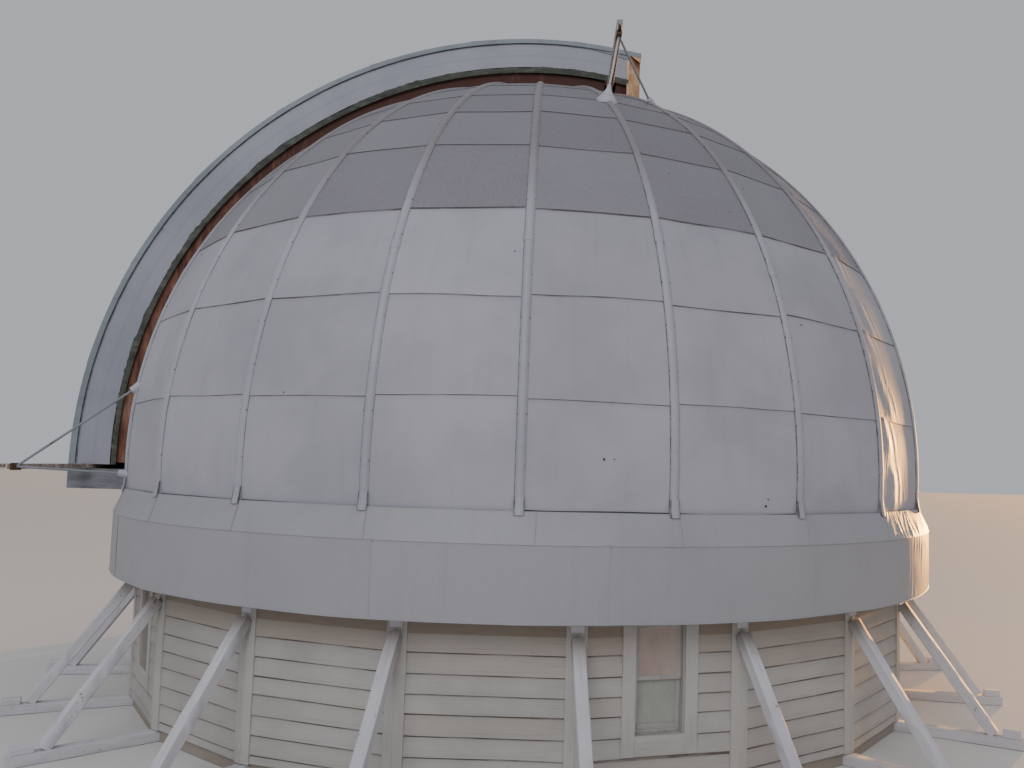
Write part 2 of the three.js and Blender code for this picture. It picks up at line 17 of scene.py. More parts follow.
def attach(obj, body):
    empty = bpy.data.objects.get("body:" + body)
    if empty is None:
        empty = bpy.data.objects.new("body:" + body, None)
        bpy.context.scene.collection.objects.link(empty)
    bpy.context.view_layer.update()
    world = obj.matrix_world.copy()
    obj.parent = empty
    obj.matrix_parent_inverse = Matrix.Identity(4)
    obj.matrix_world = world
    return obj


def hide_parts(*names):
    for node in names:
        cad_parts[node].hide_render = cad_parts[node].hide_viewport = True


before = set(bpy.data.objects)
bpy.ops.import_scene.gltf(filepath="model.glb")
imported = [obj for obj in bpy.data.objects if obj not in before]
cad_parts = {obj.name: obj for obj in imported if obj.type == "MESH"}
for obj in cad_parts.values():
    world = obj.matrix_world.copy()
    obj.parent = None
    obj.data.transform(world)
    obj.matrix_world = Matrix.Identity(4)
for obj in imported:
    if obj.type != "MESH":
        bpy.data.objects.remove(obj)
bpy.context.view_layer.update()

# %% [markdown]
# A dome is easiest to lay out in radii, azimuths and heights, so one function turns those three into
# points, for a single place as well as for a whole grid.

# %% Directions and places
def unit(v):
    """A vector divided by its own length."""
    return v / np.linalg.norm(v)


def polar(radius, azimuth, z):
    """Points at a radius, an azimuth in degrees from -Y to +X, and a height, as an (..., 3) array."""
    r, a, h = np.broadcast_arrays(radius, np.radians(azimuth), z)
    return np.stack([r * np.sin(a), -r * np.cos(a), h], -1)


def placed(x_way, y_way, z_way, place):
    """The matrix whose columns are an object's own X, Y and Z directions and its place."""
    matrix = np.eye(4)
    matrix[:3] = np.stack([x_way, y_way, z_way, place], 1)
    return Matrix(matrix.tolist())


print("a place 2 m out at an azimuth of 90 degrees:", polar(2.0, 90, 0.0).round(3))

# %% [markdown]
# The camera stands about 11.5 m from the dome's axis, at the height where the dome's curve starts, and
# looks slightly up with a small roll. The lens and the place come from a fit to the rib lines and seams.
# The picture was cropped off centre, so the lens is shifted by the same small amount.

# %% Camera
PICTURE = np.array([1024, 768])
FOCAL_PX = 881.0
CENTRE_PX = np.array([577.0, 402.0])
STAND_OFF, EYE_Z, STAND_AZIMUTH = 11.50, 2.652, 1.08
YAW, PITCH, ROLL = (math.radians(v) for v in (2.82 - STAND_AZIMUTH, 4.09, 1.61))
forward = np.array([math.sin(YAW) * math.cos(PITCH), math.cos(YAW) * math.cos(PITCH), math.sin(PITCH)])
level = np.array([math.cos(YAW), -math.sin(YAW), 0.0])
upright = np.cross(level, forward)
right = level * math.cos(ROLL) + upright * math.sin(ROLL)
up = np.cross(right, forward)
eye = polar(STAND_OFF, STAND_AZIMUTH, EYE_Z)
lens = bpy.data.cameras.new("eye_level_lens")
lens.sensor_width = 36.0
lens.lens = FOCAL_PX / PICTURE[0] * lens.sensor_width
lens.shift_x, lens.shift_y = (PICTURE / 2 - CENTRE_PX) * [1, -1] / PICTURE[0]
lens.clip_end = 400
camera = bpy.data.objects.new("camera", lens)
camera.matrix_world = placed(right, up, -forward, eye)
bpy.context.scene.collection.objects.link(camera)
bpy.context.scene.camera = camera
print("camera at", eye.round(2), "with a lens of", round(lens.lens, 1), "mm")
print("lens shift:", round(lens.shift_x, 4), round(lens.shift_y, 4))

# %% [markdown]
# A colour that the eye picks from a screen is sRGB, and the shaders add light linearly, so one
# function turns each hex value to linear. One more function adds a node with its settings and links,
# which keeps each material readable as a list of layers.

# %% Colour and node helpers
def linear(hex_colour):
    """sRGB hex to linear RGBA: the power law above the toe, and a straight line below it."""
    s = np.array([int(hex_colour[i:i + 2], 16) for i in (1, 3, 5)]) / 255
    return (*np.where(s <= 0.04045, s / 12.92, ((s + 0.055) / 1.055) ** 2.4), 1.0)


def add_node(tree, kind, inputs=None, stops=None, **settings):
    """Adds a node. Each input is a value or another node's socket, and stops are a ramp's colours."""
    made = tree.nodes.new("ShaderNode" + kind)
    for name, value in settings.items():
        setattr(made, name, value)
    for key, value in (inputs or {}).items():
        if isinstance(value, bpy.types.NodeSocket):
            tree.links.new(value, made.inputs[key])
        else:
            made.inputs[key].default_value = value
    for i, (place, colour) in enumerate(stops or []):
        stop = made.color_ramp.elements[i] if i < 2 else made.color_ramp.elements.new(place)
        stop.position, stop.color = place, colour
    return made


print("middle grey #808080 in linear light:", round(float(linear("#808080")[0]), 4))

# %% [markdown]
# Patterns are worked out from real sizes. A cloud pattern states how wide, deep and tall its blobs
# are in millimetres, and a mark is a colour that shows where such a pattern passes a level.

# %% Patterns in millimetres, and marks
def clouds(tree, where, sizes_mm, detail=3.0, roughness=0.6):
    """Cloud noise whose blobs measure the given millimetres along the three axes of its coordinates."""
    scale = [1000.0 / s for s in sizes_mm]
    spot = add_node(tree, "Mapping", {"Vector": where, "Scale": scale})
    return add_node(tree, "TexNoise", {"Vector": spot.outputs[0], "Scale": 1.0, "Detail": detail,
                                       "Roughness": roughness}).outputs[0]


def marked(tree, below, mark, pattern, low, high, strongest=1.0):
    """The colour below with a mark over it, and the mark's mask. The mark is absent where the pattern is
    at its low level and strongest at the high one, with a smooth step between; low may be the larger."""
    mask = add_node(tree, "MapRange", {"Value": pattern, "From Min": low, "From Max": high,
                                       "To Max": strongest}, interpolation_type="SMOOTHSTEP").outputs[0]
    mixed = add_node(tree, "Mix", {0: mask, 6: below, 7: mark}, data_type="RGBA")
    return mixed.outputs[2], mask


def new_material(name):
    """A named material with its tree, its shader and the object's own coordinates."""
    material = bpy.data.materials.new(name)
    material.use_nodes = True
    tree = material.node_tree
    return material, tree, tree.nodes["Principled BSDF"], add_node(tree, "TexCoord").outputs["Object"]


print("a 14 mm blob repeats", round(1000 / 14), "times in a metre")

# %% [markdown]
# Every painted surface here is old, and age shows in the same few layers: paint that has dried in
# slightly different tones, streaks that rain has drawn downwards, and a few spots where rust or bare
# wood comes through. Where one sheet or board laps over the next, a dark line of grime and painted
# shade lies under the lap. One function builds them, and each finish states its own colours and sizes.
# Where the surface has a UV map, U runs across the sheet or along the board and V is the distance below
# its upper lap, both in metres. Paint, glass, rust and rubber all bend light much as the shader's own IOR
# of 1.5 does, so it stays.

# %% Dirt under a lap
def dirt_and_shade_under_lap(tree, colour, grime_and_shade, place, surface, lap_mm, strength):
    """Dirt and painted shade below each lap: a broad faint band, then a crisp line whose strength wanders
    along the lap.
    """
    depth = add_node(tree, "SeparateXYZ", {0: surface}).outputs[1]
    colour, _ = marked(tree, colour, grime_and_shade, depth, lap_mm / 250, 0.0, strongest=strength * 0.12)
    wander = clouds(tree, place, (420, 420, 90), 3)
    darkening = add_node(tree, "MapRange", {"Value": wander, "From Min": 0.36, "From Max": 0.62,
                                       "To Min": strength * 0.45, "To Max": strength},
                    interpolation_type="SMOOTHSTEP").outputs[0]
    return marked(tree, colour, grime_and_shade, depth, lap_mm / 1000, lap_mm / 2500, strongest=darkening)[0]


# the dark line under a lap is dirt and painted shade
print("a dirt line 26 mm deep is solid over its first", 26 / 2.5, "mm")

# %% Painted and weathered finish
def weathered(name, paint, shade, grime_and_shade, bare, streak_mm, texture_mm, streaks=0.45, lap_mm=26, lap_dirt_and_shade=0.85,
              bare_above=0.72, roughness=(0.42, 0.62), bump_mm=0.6, tone_colour=None, on_uv=True):
    """Old paint: two tones in broad patches, streaks along V, grime and painted shade under the lap and bare
    spots. The streaks and the fine texture take their blobs' sizes, and the crisp dark line is lap_mm deep."""
    material, tree, shader, place = new_material(name)
    paint, shade, grime_and_shade, bare = (linear(c) for c in (paint, shade, grime_and_shade, bare))
    surface = add_node(tree, "UVMap", uv_map="sheet").outputs[0] if on_uv else place
    # patches nearly a metre across, where the brush laid the paint on thicker or thinner
    colour, _ = marked(tree, paint, shade, clouds(tree, place, (900, 900, 900), 4), 0.38, 0.66)
    if tone_colour:
        tone = add_node(tree, "Attribute", attribute_name="tone").outputs["Fac"]
        toned = add_node(tree, "Mix", {0: tone, 6: colour, 7: linear(tone_colour)}, data_type="RGBA")
        colour = toned.outputs[2]
    runs = clouds(tree, surface, streak_mm, 4, 0.65)
    colour, _ = marked(tree, colour, grime_and_shade, runs, 0.5, 0.72, strongest=streaks)
    fine = clouds(tree, surface, texture_mm, 2)
    colour, _ = marked(tree, colour, shade, fine, 0.35, 0.75, strongest=0.22)
    # painted shade and dirt under each lap
    if on_uv:
        colour = dirt_and_shade_under_lap(tree, colour, grime_and_shade, place, surface, lap_mm, lap_dirt_and_shade)
    # bare spots of a few centimetres come in groups, in one patch out of several
    groups = clouds(tree, place, (700, 700, 700), 2)
    grouped = add_node(tree, "MapRange", {"Value": groups, "From Min": 0.5, "From Max": 0.6},
                       interpolation_type="SMOOTHSTEP").outputs[0]
    flakes = clouds(tree, place, (45, 45, 60), 5, 0.7)
    colour, spots = marked(tree, colour, bare, flakes, bare_above, bare_above + 0.06, strongest=grouped)
    tree.links.new(colour, shader.inputs["Base Color"])
    gloss = add_node(tree, "MapRange", {"Value": fine, "To Min": roughness[0], "To Max": roughness[1]})
    tree.links.new(gloss.outputs[0], shader.inputs["Roughness"])
    height = add_node(tree, "Math", {0: fine, 1: spots}, operation="SUBTRACT", use_clamp=True).outputs[0]
    bump = add_node(tree, "Bump", {"Height": height, "Distance": bump_mm / 1000, "Strength": 1.0})
    tree.links.new(bump.outputs[0], shader.inputs["Normal"])
    return material


print("a bare spot's patch measures", 700, "mm, and its flakes", 45, "mm")

# %% Finishes of the dome
# Oil paint brushed on galvanised sheet goes chalky: a broad soft gloss, brush marks up and across,
# and long grey streaks. The brush marks are really 1 to 2 mm wide and are drawn 14 mm wide to show.
dome_paint = weathered("oil_paint_on_galvanised_sheet", "#acabb3", "#a1a0a8", "#4e4846", "#4a3a30",
                       (90, 1500, 1000), (14, 55, 40), streaks=0.06, lap_mm=16, lap_dirt_and_shade=0.95,
                       bare_above=0.75, bump_mm=0.25, tone_colour="#726e75")
# The same paint on the rolled battens has kept a little more colour; a dark line of dirt and painted shade
# runs along its edges.
batten_paint = weathered("oil_paint_on_rolled_battens", "#a8a8b0", "#9e9ea6", "#4a4646", "#5a4638",
                         (60, 900, 300), (12, 40, 40), streaks=0.12, lap_mm=9, lap_dirt_and_shade=0.9, bare_above=0.74,
                         tone_colour="#827e81")
# Small folded parts were painted thickly and look paler and cleaner.
trim_sheet_paint = weathered("oil_paint_on_folded_sheet", "#b6b7bd", "#a8aab0", "#5b5856", "#5a4638",
                             (60, 900, 300), (12, 40, 40), streaks=0.25, lap_dirt_and_shade=0.0)
# The skirt is upright and shows its streaks least. Its frame behind is duller and has no sheet map.
skirt_paint = weathered("brushed_paint_on_skirt_sheet", "#9b9a9f", "#939296", "#5a5553", "#54453a",
                        (140, 1300, 800), (14, 60, 40), streaks=0.07, lap_mm=8, lap_dirt_and_shade=0.75,
                        bare_above=0.74, bump_mm=0.25, tone_colour="#a4a3a8")
skirt_core_paint = weathered("faded_paint_on_skirt_frame", "#9a999e", "#8d8c91", "#5f5a57", "#54453a",
                             (90, 90, 900), (14, 14, 60), streaks=0.2, bare_above=0.74, on_uv=False)
# The shutters' paint is bluer. The strips on them have chalked to a darker grey.
shutter_paint = weathered("brushed_paint_on_shutter_sheet", "#999ba5", "#8d909a", "#4a4848", "#5a4334",
                          (110, 900, 400), (14, 50, 40), streaks=0.2, lap_mm=7, lap_dirt_and_shade=0.7,
                          bare_above=0.70)
drip_paint = weathered("chalked_paint_on_drip_strip", "#878e95", "#767d84", "#43484c", "#5a4638",
                       (60, 900, 300), (12, 40, 40), streaks=0.25, lap_dirt_and_shade=0.0)
# Pipe can't hold a brush mark as wide as a sheet does, and rust shows through it in more places.
stay_paint = weathered("chalked_paint_on_steel_pipe", "#8b8e95", "#76797f", "#3f3c3a", "#5c4030",
                       (200, 30, 30), (30, 10, 10), streaks=0.3, lap_dirt_and_shade=0.0, bare_above=0.6)
print("dome finishes:", [m.name for m in (dome_paint, batten_paint, skirt_paint, shutter_paint, stay_paint)])

# %% Finishes of the drum
# Sawn softwood boards under thin old paint: the grain telegraphs through along the board, grime and
# painted shade sit under each lap, and the upper boards, which dry out under the skirt, are browner
# and darker, from tannin that bleeds through and from painted shade. The grain is really 2 to 4 mm wide
# and is drawn 9 mm wide to show.
board_paint = weathered("thin_paint_on_sawn_clapboard", "#b6b3ae", "#a9a6a1", "#493828", "#6d5643",
                        (900, 24, 300), (260, 9, 9), streaks=0.2, lap_mm=18, lap_dirt_and_shade=0.88, bare_above=0.68,
                        roughness=(0.55, 0.8), bump_mm=1.0, tone_colour="#a39182")
# Planed boards keep a smoother, cleaner coat.
trim_paint = weathered("thin_paint_on_planed_trim", "#b8b5b0", "#aba7a0", "#6d5f52", "#77614e",
                       (500, 24, 24), (180, 8, 8), streaks=0.2, lap_dirt_and_shade=0.0, bare_above=0.7,
                       roughness=(0.5, 0.75), bump_mm=0.7, tone_colour="#8a7968")
# The braces' pale paint lies on rough wood, which shows through grey where the paint has worn off.
strut_paint = weathered("worn_paint_on_rough_timber", "#d2d1d6", "#c5c3c8", "#6a6058", "#6b5a4c",
                        (500, 16, 16), (220, 7, 7), streaks=0.3, lap_dirt_and_shade=0.0, bare_above=0.62,
                        roughness=(0.6, 0.85), bump_mm=1.2, tone_colour="#857a70")
# Sashes get gloss paint, so they are the smoothest of the timber parts.
sash_paint = weathered("gloss_paint_on_sash_timber", "#a9a6a2", "#97938e", "#5b5049", "#6a5a4c",
                       (200, 16, 16), (120, 8, 8), streaks=0.35, lap_dirt_and_shade=0.0, roughness=(0.35, 0.6))
print("drum finishes:", [m.name for m in (board_paint, trim_paint, strut_paint, sash_paint)])

# %% [markdown]
# Bare steel that has stood outside is a mix of three rusts: dark compact scale, orange bloom on top of
# it, and pale dust. They lie in patches from a few millimetres to a hand's width, all of them rough.
# Dust on glass and the skin of old rubber are patchy in the same way, so one function serves them all.

# %% Patchy finish
RAMP = (0.34, 0.52, 0.68)


def patchy(name, dark, middle, light, blob_mm, roughness, metallic=0.0, bump_mm=1.0, toned=0.0):
    """Three colours through one ramp of cloud noise, with the same noise as relief. Where it is toned,
    the tone attribute pulls the noise towards the dark end."""
    material, tree, shader, place = new_material(name)
    cloud = clouds(tree, place, blob_mm, 6, 0.68)
    if toned:
        tone = add_node(tree, "Attribute", attribute_name="tone").outputs["Fac"]
        cloud = add_node(tree, "Math", {0: tone, 1: -toned, 2: cloud}, operation="MULTIPLY_ADD",
                         use_clamp=True).outputs[0]
    ramp = add_node(tree, "ValToRGB", {0: cloud}, stops=[
        (RAMP[0], linear(dark)), (RAMP[2], linear(light)), (RAMP[1], linear(middle))])
    tree.links.new(ramp.outputs[0], shader.inputs["Base Color"])
    bump = add_node(tree, "Bump", {"Height": cloud, "Distance": bump_mm / 1000, "Strength": 1.0})
    tree.links.new(bump.outputs[0], shader.inputs["Normal"])
    shader.inputs["Roughness"].default_value = roughness
    shader.inputs["Metallic"].default_value = metallic
    return material


print("the three colours are pure at these values of the noise:", RAMP)

# %% Rusted steel, weather strip and panes
# steel: a dark matt skin on the plates, dry pale scale on the rails, soot-dark round the fixings
rusted_steel = patchy("rusted_rolled_steel", "#3a2a22", "#5f4430", "#8b6a4c", (90, 90, 90), 0.82)
rusted_rail = patchy("scaled_rail_steel", "#85736a", "#b5a69b", "#ddd2c8", (60, 60, 60), 0.82)
rust_bleed = patchy("rust_round_a_fixing", "#2c2826", "#453f3c", "#5f5650", (9, 9, 9), 0.85)
# a curb board soaked brown by the steel above it, and an end sheet of rust whose pale orange is painted
# sunlight
rusted_curb = patchy("rust_stained_curb_board", "#4a2d25", "#79503f", "#977562", (90, 90, 420), 0.85,
                     toned=0.30)
rust_and_sunlight_sheet = patchy("rust_and_painted_sunlight_end_sheet", "#946b4c", "#cba179", "#e8d2ba", (160, 160, 240), 0.7)
# rubber that the sun has dried to a greenish grey, and zinc that has gone dull
weather_strip = patchy("perished_rubber_strip", "#3a3b36", "#4d5049", "#62655c", (190, 190, 70), 0.88)
unpainted_sheet = patchy("dull_galvanised_inside", "#4b4d50", "#5d6063", "#6f7276", (220, 220, 220), 0.6, 0.4)
# old window glass is glossy under its dust; each pane's colour is dust and painted reflection, warm
# brown on the upper pane and grey on the lower one
upper_pane = patchy("dusty_glass_with_painted_warm_reflection", "#a28f88", "#af9d95", "#b9a9a1", (380, 380, 500), 0.22,
                    bump_mm=0.1)
lower_pane = patchy("dusty_glass_with_painted_grey_reflection", "#8d8e87", "#989991", "#a2a39b", (360, 360, 480), 0.22,
                    bump_mm=0.1)
print("materials:", len(bpy.data.materials))

# %% [markdown]
# A plain pale floor and a pale sky give soft light from all round. One large lamp lights the front
# from the left. A low warm sun stands behind the right side, so that it grazes the sheets there and
# shows how they are dented.

# %% Floor
FLOOR_HALF = 120.0
floor_mesh = bpy.data.meshes.new("floor")
floor_corners = [(x * FLOOR_HALF, y * FLOOR_HALF, 0) for x, y in ((-1, -1), (1, -1), (1, 1), (-1, 1))]
floor_mesh.from_pydata(floor_corners, [], [(0, 1, 2, 3)])
floor = bpy.data.objects.new("floor", floor_mesh)
bpy.context.scene.collection.objects.link(floor)
pale = bpy.data.materials.new("pale_floor")
pale.use_nodes = True
pale.node_tree.nodes["Principled BSDF"].inputs["Base Color"].default_value = linear("#dad8d4")
pale.node_tree.nodes["Principled BSDF"].inputs["Roughness"].default_value = 0.9
floor_mesh.materials.append(pale)
print("floor:", 2 * FLOOR_HALF, "m square")

# %% Sky and lights
def add_light(data, place, z_way):
    """Links a light at a place. It shines against the given direction, and its own X is level."""
    x_way = unit(np.cross([0, 0, 1.0], z_way))
    light = bpy.data.objects.new(data.name, data)
    light.matrix_world = placed(x_way, np.cross(z_way, x_way), z_way, place)
    bpy.context.scene.collection.objects.link(light)


sky = bpy.data.worlds.new("soft_sky")
sky.use_nodes = True
sky.node_tree.nodes["Background"].inputs[0].default_value = linear("#c9ccd2")
sky.node_tree.nodes["Background"].inputs[1].default_value = 0.82
bpy.context.scene.world = sky

key = bpy.data.lights.new("key", "AREA")
key.size, key.energy, key.color = 14, 2000, linear("#f4f5fb")[:3]
key_place = polar(22, -12, 16)
add_light(key, key_place, unit(key_place - [0, 0, 3.0]))
low_sun = bpy.data.lights.new("low_sun", "SUN")
low_sun.energy, low_sun.angle, low_sun.color = 11.0, math.radians(3), linear("#ffb450")[:3]
add_light(low_sun, np.zeros(3), unit(polar(1.0, 140.6, 0.035)))
print("lights:", [light.name for light in bpy.data.lights])

# %% [markdown]
# A shape is worked out as a whole grid of points: rows run along it and columns across it. `patch`
# turns such a grid into faces that look outwards, and `piece` joins patches into one object whose
# place is in its mesh. Each point carries its UV in metres and a tone, which shifts its paint.

# %% Places in a bay, and ripples
def in_bay(azimuth, along, outward, z):
    """A point in the frame of an azimuth: sideways along it, outward from the axis, and up."""
    a = np.radians(azimuth)
    along, outward, z = np.broadcast_arrays(along, outward, z)
    return np.stack([along * np.cos(a) + outward * np.sin(a), along * np.sin(a) - outward * np.cos(a), z], -1)


def ripple(x, y, seed, longest, count=7):
    """Smooth bumps, mostly between -1 and 1: a sum of sine waves with seeded directions and lengths."""
    draw = np.random.default_rng(abs(int(seed)))
    turn = draw.uniform(0, 2 * np.pi, count)
    wave = 2 * np.pi / (longest * draw.uniform(0.35, 1.0, count))
    phase = draw.uniform(0, 2 * np.pi, count)
    arms = wave * (np.multiply.outer(x, np.cos(turn)) + np.multiply.outer(y, np.sin(turn))) + phase
    return np.sin(arms).sum(-1) / math.sqrt(count) / 1.2


along_board = ripple(np.linspace(0, 9, 200), 0, 1, 1.6)
print("a ripple lies between", along_board.min().round(2), "and", along_board.max().round(2))


# %% Patches
def patch(points, uv=None, tone=0.0, away_from=None, facing=None, loop=False, keep=None):
    """Faces of a (rows, columns, 3) grid. They look away from a point or towards a direction."""
    rows, cols = points.shape[:2]
    index = np.arange(rows * cols).reshape(rows, cols)
    if loop:
        index = np.concatenate([index, index[:, :1]], 1)
    quads = np.stack([index[:-1, :-1], index[:-1, 1:], index[1:, 1:], index[1:, :-1]], -1)
    if keep is not None:
        quads = quads[keep]
    quads = quads.reshape(-1, 4)
    flat = points.reshape(-1, 3)
    corners = flat[quads]
    normals = np.cross(corners[:, 2] - corners[:, 0], corners[:, 3] - corners[:, 1])
    if facing is not None or away_from is not None:
        look = np.array(facing) if facing is not None else corners.mean(1) - away_from
        if (normals * look).sum() < 0:
            quads = quads[:, ::-1]
    coordinates = np.zeros((rows, cols, 2)) if uv is None else np.stack(np.broadcast_arrays(*uv), -1)
    shades = np.broadcast_to(tone, (rows, cols)).ravel()
    return {"points": flat, "quads": quads, "uv": coordinates.reshape(-1, 2), "tone": shades}


one_patch = patch(in_bay(0, *np.meshgrid([0, 1, 2], [0, 1]), 0))
print("a grid of 2 rows and 3 columns has", len(one_patch["quads"]), "faces")

# %% Closed bars
def bar(rings, tone=0.0, edge_dirt_and_shade=None):
    """A closed bar through (stations, corners, 3) rings, closed by a fan at both ends. U runs along it
    and V round it, or V is the distance from the nearer long edge less the width of a dark edge line."""
    start, stop = rings[:1].mean(1, keepdims=True), rings[-1:].mean(1, keepdims=True)
    ones = np.ones((1, rings.shape[1], 1))
    whole = np.concatenate([start * ones, rings, stop * ones])
    steps = np.linalg.norm(np.diff(whole.mean(1), axis=0), axis=-1)
    run = np.concatenate([[0.0], np.cumsum(steps)])[:, None]
    edge = np.linalg.norm(np.roll(rings, -1, 1) - rings, axis=-1)[0]
    girth = np.concatenate([[0.0], np.cumsum(edge)[:-1]])[None, :]
    if edge_dirt_and_shade is not None:
        # painted shade and dirt along both long edges, 7 mm narrower along one edge than the other
        girth = np.minimum(girth, girth.max() - girth + 0.007) - edge_dirt_and_shade
    made = patch(whole, (run + 0 * girth, girth + 0 * run), tone, loop=True)
    made["closed"] = True
    return made


square_rings = np.array([[[0, 0, z], [1, 0, z], [1, 1, z], [0, 1, z]] for z in (0.0, 1.0, 2.0)])
print("a square bar of 3 stations has", len(bar(square_rings)["quads"]), "faces, its end fans included")

# %% [markdown]
# Sheets and bars are joined while they are still plain arrays, which is quicker than joining objects.
# Where two patches share an edge their points are merged, and the closed bars get their normals
# recalculated, because a bar carried along a curve may come out inside out.

# %% Creases and open edges
CREASE_ANGLE = math.radians(40)


def shade_creases(mesh):
    """Smooth shading, but for edges that turn by more than the crease angle and for open edges, which
    belong to one face only."""
    mesh.polygons.foreach_set("use_smooth", np.ones(len(mesh.polygons), bool))
    mesh.set_sharp_from_angle(angle=CREASE_ANGLE)
    edge_of_corner = np.empty(len(mesh.loops), np.int32)
    mesh.loops.foreach_get("edge_index", edge_of_corner)
    crisp = np.empty(len(mesh.edges), bool)
    mesh.edges.foreach_get("use_edge_sharp", crisp)
    crisp |= np.bincount(edge_of_corner, minlength=len(mesh.edges)) == 1
    mesh.edges.foreach_set("use_edge_sharp", crisp)


print("edges that turn by more than", round(math.degrees(CREASE_ANGLE)), "degrees are creases")

# %% One object from patches
MERGE = 2e-5


def piece(name, patches, material, body, thick=0.0, replaced=()):
    """One object from patches: points merged, closed bars turned outwards, sheets given a thickness. It
    rides on a body, and may stand for CAD nodes."""
    starts = np.cumsum([0] + [len(p["points"]) for p in patches])[:-1]
    points = np.concatenate([p["points"] for p in patches])
    quads = np.concatenate([p["quads"] + s for p, s in zip(patches, starts)])
    uv = np.concatenate([p["uv"] for p in patches])
    tone = np.concatenate([p["tone"] for p in patches])
    mesh = bpy.data.meshes.new(name)
    mesh.from_pydata(points.tolist(), [], quads.tolist())
    mesh.uv_layers.new(name="sheet").data.foreach_set("uv", uv[quads.ravel()].ravel().astype(np.float32))
    mesh.attributes.new("tone", "FLOAT", "POINT").data.foreach_set("value", tone.astype(np.float32))
    work = bmesh.new()
    work.from_mesh(mesh)
    bmesh.ops.remove_doubles(work, verts=work.verts, dist=MERGE)
    bmesh.ops.dissolve_degenerate(work, edges=work.edges, dist=MERGE)
    if all(p.get("closed") for p in patches):
        bmesh.ops.recalc_face_normals(work, faces=work.faces)
    work.to_mesh(mesh)
    work.free()
    shade_creases(mesh)
    mesh.materials.append(material)
    made = bpy.data.objects.new(name, mesh)
    bpy.context.scene.collection.objects.link(made)
    if thick:
        wall = made.modifiers.new("sheet_thickness", "SOLIDIFY")
        wall.thickness, wall.offset = thick, -1
    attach(made, body)
    if replaced:
        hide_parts(*replaced)


print("points closer than", MERGE * 1000, "mm are merged")

# %% [markdown]
# The dome is built of flat-faced gores, fifteen degrees each, between ribs. Each gore is covered by
# courses of sheet, and each sheet laps over the one below like a shingle, so its lower edge stands
# proud and throws a thin dark line. Nobody hangs ten courses perfectly level: the laps step a little
# from gore to gore, and thin sheet buckles between its fixings, most on the gores that get the sun.

# %% The dome's measures and its slit
DOME_R, SPRING_Z = 4.7, 2.6
CENTRE = np.array([0, 0, SPRING_Z])
PITCH_AZ = 15.0
GORES = 24
# the laps' latitudes in degrees, from the collar upwards
SEAMS = np.array([-3.8, 6.85, 17.5, 28.15, 38.8, 47.1, 53.9, 61, 68, 75, 82])
SLIT_HALF, SLIT_REAR, SILL_Z = 1.175, 0.840, 2.51
# one generator draws each sheet's small errors, in the order in which the sheets are hung
random = np.random.default_rng(11)


def in_slit(points, margin=0.0):
    """True where a point lies in the slit's rectangle in plan, above the sill."""
    x, y, z = np.moveaxis(points, -1, 0)
    return (np.abs(y) < SLIT_HALF - margin) & (x < SLIT_REAR - margin) & (z > SILL_Z - margin)


def pull_to_slit(points):
    """Moves points in the slit back to its edge: sideways beside it, and rearwards behind it."""
    inside = in_slit(points)
    x, y, z = np.moveaxis(points, -1, 0)
    front = inside & (x > 0) & (SLIT_REAR - x < SLIT_HALF - np.abs(y))
    radius = np.hypot(x, y)
    back_y = np.sign(y) * np.sqrt(np.maximum(radius**2 - SLIT_REAR**2, 0))
    side_x = np.sign(x) * np.sqrt(np.maximum(radius**2 - SLIT_HALF**2, 0))
    x2 = np.where(front, SLIT_REAR, np.where(inside, side_x, x))
    y2 = np.where(front, back_y, np.where(inside, np.sign(y) * SLIT_HALF, y))
    return np.stack([x2, y2, z], -1)


print("courses:", len(SEAMS) - 1, "slit:", 2 * SLIT_HALF, "m wide")

# %% Folds in thin sheet
def creased(across, down, seed, spacing, tall):
    """Folds that run downwards: rounded ridges, a raised cosine to the power 1.7, whose phase wanders
    and whose strength comes and goes along them. Two sizes are added, between about 0 and 1."""
    total = 0
    big_and_small = ((1.0, 0.72), (0.42, 0.28))
    for n, (size, share) in enumerate(big_and_small):
        wander = ripple(across * 0.6, down * 0.45, seed + 3 * n, tall, 6)
        strength = 0.5 + 0.6 * ripple(across * 0.9, down * 0.6, seed + 3 * n + 1, tall * 0.8, 6)
        ridge = (0.5 + 0.5 * np.cos(2 * np.pi * (across / (spacing * size) + wander))) ** 1.7
        total = total + share * ridge * np.clip(strength, 0, 1)
    return total


along_sheet = creased(np.linspace(0, 1.2, 200), np.zeros(200), 60, 0.13, 0.5)
print("folds 130 mm apart lie between", along_sheet.min().round(2), "and", along_sheet.max().round(2))

